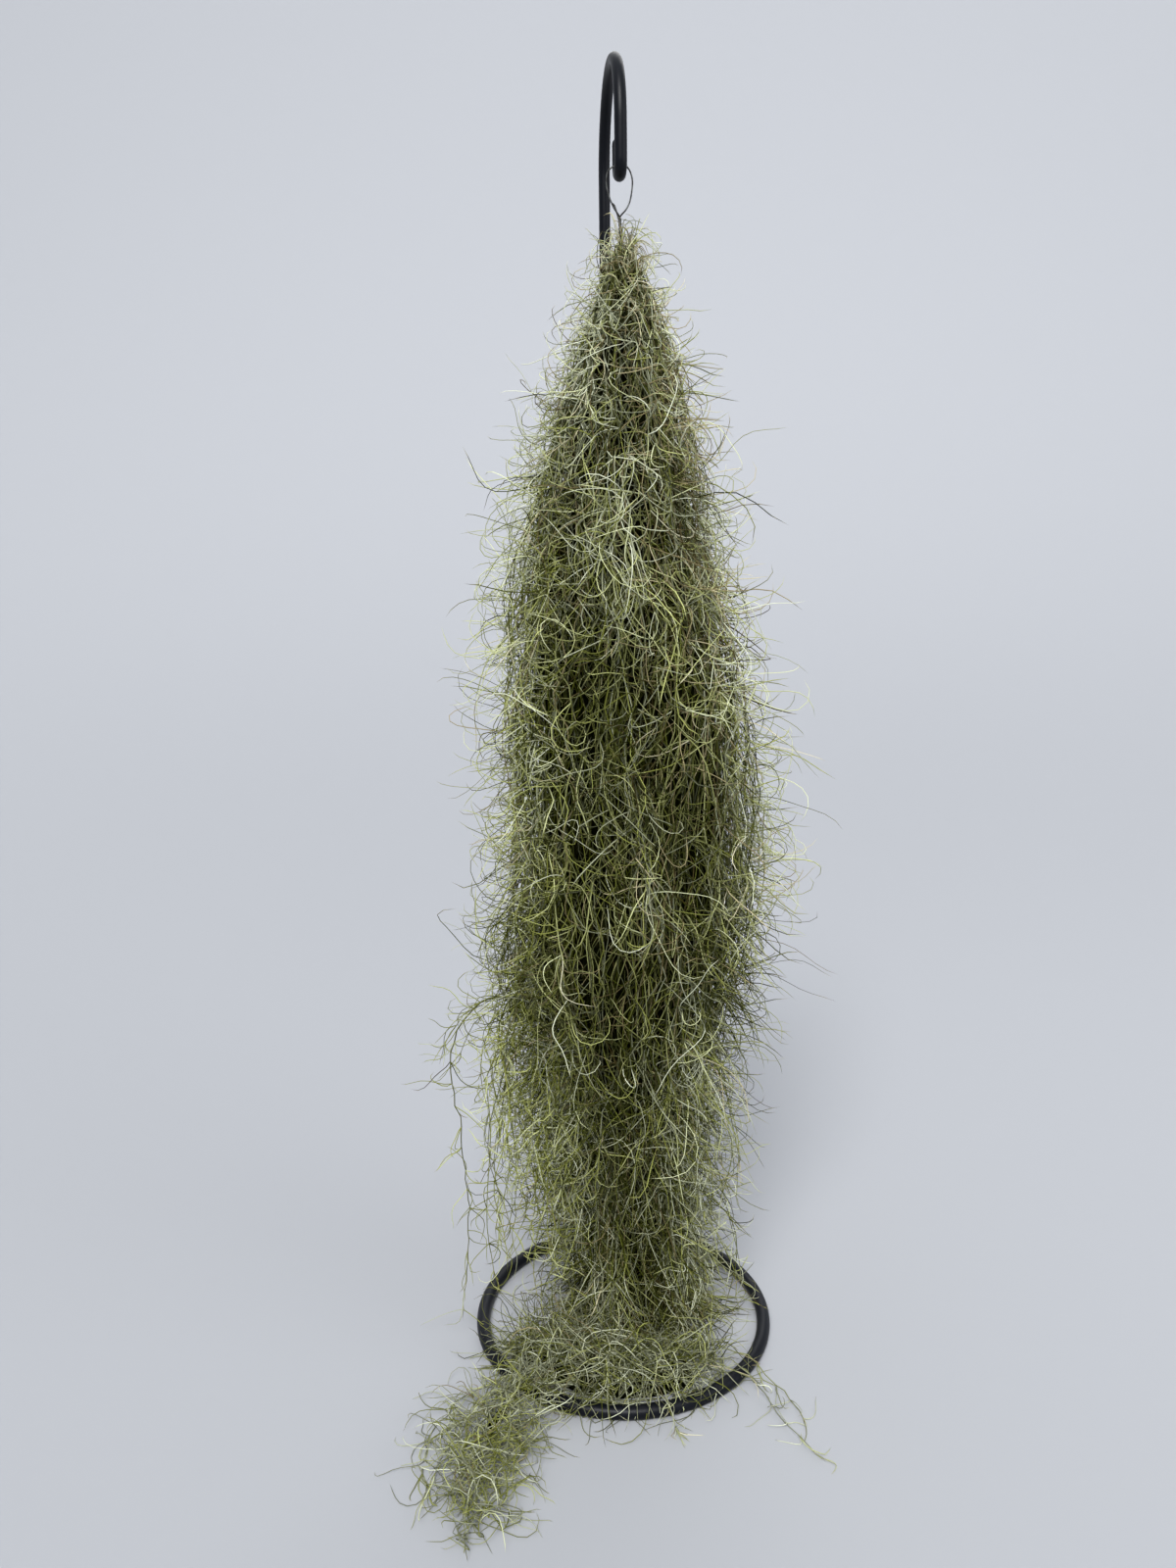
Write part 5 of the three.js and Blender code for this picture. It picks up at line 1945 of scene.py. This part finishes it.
@dataclass
class Studio:
    """The pale ground that curves up all round, soft light, and the camera, in metres."""

    radius: float = 13.0
    level: float = 1.0  # radius of the part that is level
    height: float = 8.8
    rings: int = 41
    sides: int = 96
    hub: float = 0.001  # radius of the small face in the middle
    lens: float = 25.669  # millimetres, as the sensor's width
    sensor: float = 36.0
    clip: Pair = (0.01, 50.0)
    yaw: float = math.radians(-0.3856)
    pitch: float = math.radians(10.0582)
    roll: float = math.radians(-0.7821)
    eye: Triple = (-0.035343, -1.035715, 0.740585)  # from the ring's middle
    sky: tuple[float, float, float, float] = (0.90, 0.95, 1.0, 1.0)
    sky_strength: float = 0.5
    lamps: tuple[Lamp, ...] = (
        Lamp("key", LampKind.SUN, (-0.35, -2.2, 2.9), math.radians(28), 4.0),
        Lamp("fill", LampKind.AREA, (2.4, -1.2, 1.8), 2.0, 24.0),
        Lamp("back", LampKind.SUN, (0.5, 2.4, 2.3), math.radians(40), 1.1),
    )

    def ground(self) -> None:
        """Makes the ground, a wide bowl turned about the Z axis.

        Formula: it is level near the object, and from there it rises with the third power of the
        distance.
        """
        share = np.linspace(0, 1, self.rings)
        out = np.concatenate([[self.hub], self.level + (self.radius - self.level) * share])
        rise = np.concatenate([[0.0], self.height * share**3])
        around = np.linspace(0, 2 * np.pi, self.sides, endpoint=False)
        points = np.stack([out[:, None] * np.cos(around), out[:, None] * np.sin(around),
                           rise[:, None] + 0 * around], axis=-1).reshape(-1, 3)
        i, j = np.mgrid[0 : len(out) - 1, 0 : self.sides]
        k, n = (j + 1) % self.sides, self.sides
        faces = np.stack([i * n + j, (i + 1) * n + j, (i + 1) * n + k, i * n + k], axis=-1).reshape(-1, 4)
        mesh = bpy.data.meshes.new("ground")
        mesh.from_pydata(points.tolist(), [], [*faces.tolist(), list(range(n))])
        mesh.polygons.foreach_set("use_smooth", np.ones(len(mesh.polygons), bool))
        mesh.materials.append(PaleFloor().material())
        ground = bpy.data.objects.new("ground", mesh)
        bpy.context.scene.collection.objects.link(ground)
        ground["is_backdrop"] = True

    def light(self) -> None:
        """Sets the light of the sky and adds the lamps."""
        world = bpy.data.worlds.new("sky")
        world.use_nodes = True
        inputs = world.node_tree.nodes["Background"].inputs
        inputs["Color"].default_value, inputs["Strength"].default_value = self.sky, self.sky_strength
        bpy.context.scene.world = world
        bpy.context.scene.view_settings.view_transform = "Standard"
        for lamp in self.lamps:
            lamp.build()

    def camera(self) -> None:
        """Sets the camera: turned by the yaw, tipped down by the pitch, then rolled."""
        turn = np.array([[math.cos(self.yaw), -math.sin(self.yaw), 0],
                         [math.sin(self.yaw), math.cos(self.yaw), 0], [0, 0, 1]])
        ahead = turn @ [0, math.cos(self.pitch), -math.sin(self.pitch)]
        right = turn @ [1, 0, 0]
        up = np.cross(right, ahead)
        rolled_right = math.cos(self.roll) * right + math.sin(self.roll) * up
        rolled_up = -math.sin(self.roll) * right + math.cos(self.roll) * up
        lens = bpy.data.cameras.new("camera")
        lens.lens, lens.sensor_width, lens.sensor_fit = self.lens, self.sensor, "AUTO"
        lens.clip_start, lens.clip_end = self.clip
        camera = bpy.data.objects.new("camera", lens)
        place = np.column_stack([rolled_right, rolled_up, -ahead, STAND_PLACE + self.eye])
        camera.matrix_world = Matrix([*place.tolist(), [0, 0, 0, 1]])
        bpy.context.scene.collection.objects.link(camera)
        bpy.context.scene.camera = camera

    def build(self) -> None:
        """Sets up the ground, the light and the camera."""
        self.ground()
        self.light()
        self.camera()


# ---- The whole object ----

ring_low, ring_high = (np.array(corner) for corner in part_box("stand_ring"))
STAND_PLACE = np.array([*(ring_low + ring_high)[:2] / 2, 0.0])


def write_sizes() -> None:
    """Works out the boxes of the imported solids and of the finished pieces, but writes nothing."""
    boxes = {"cad": CAD_BOX, "visual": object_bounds()}
    plain = {name: [list(corner) for corner in box] for name, box in boxes.items()}


def main() -> None:
    """Builds every piece in order."""
    logging.basicConfig(level=logging.INFO, format="%(message)s")
    stand = Stand()
    stand.build(PowderCoat().material())
    Wire(stand).build(DrawnWire().material())
    keep_out = KeepOut(stand)
    bunch = Bunch(stand)
    moss = [LeafFinish().material(), InnerShadeFinish().material()]
    for number in range(1, bunch.hanks + 1):
        Hank(number, bunch, keep_out).build(moss)
    floor_pile(keep_out).build(moss)
    floor_tail(keep_out).build(moss)
    Studio().build()
    write_sizes()


if __name__ == "__main__":
    main()
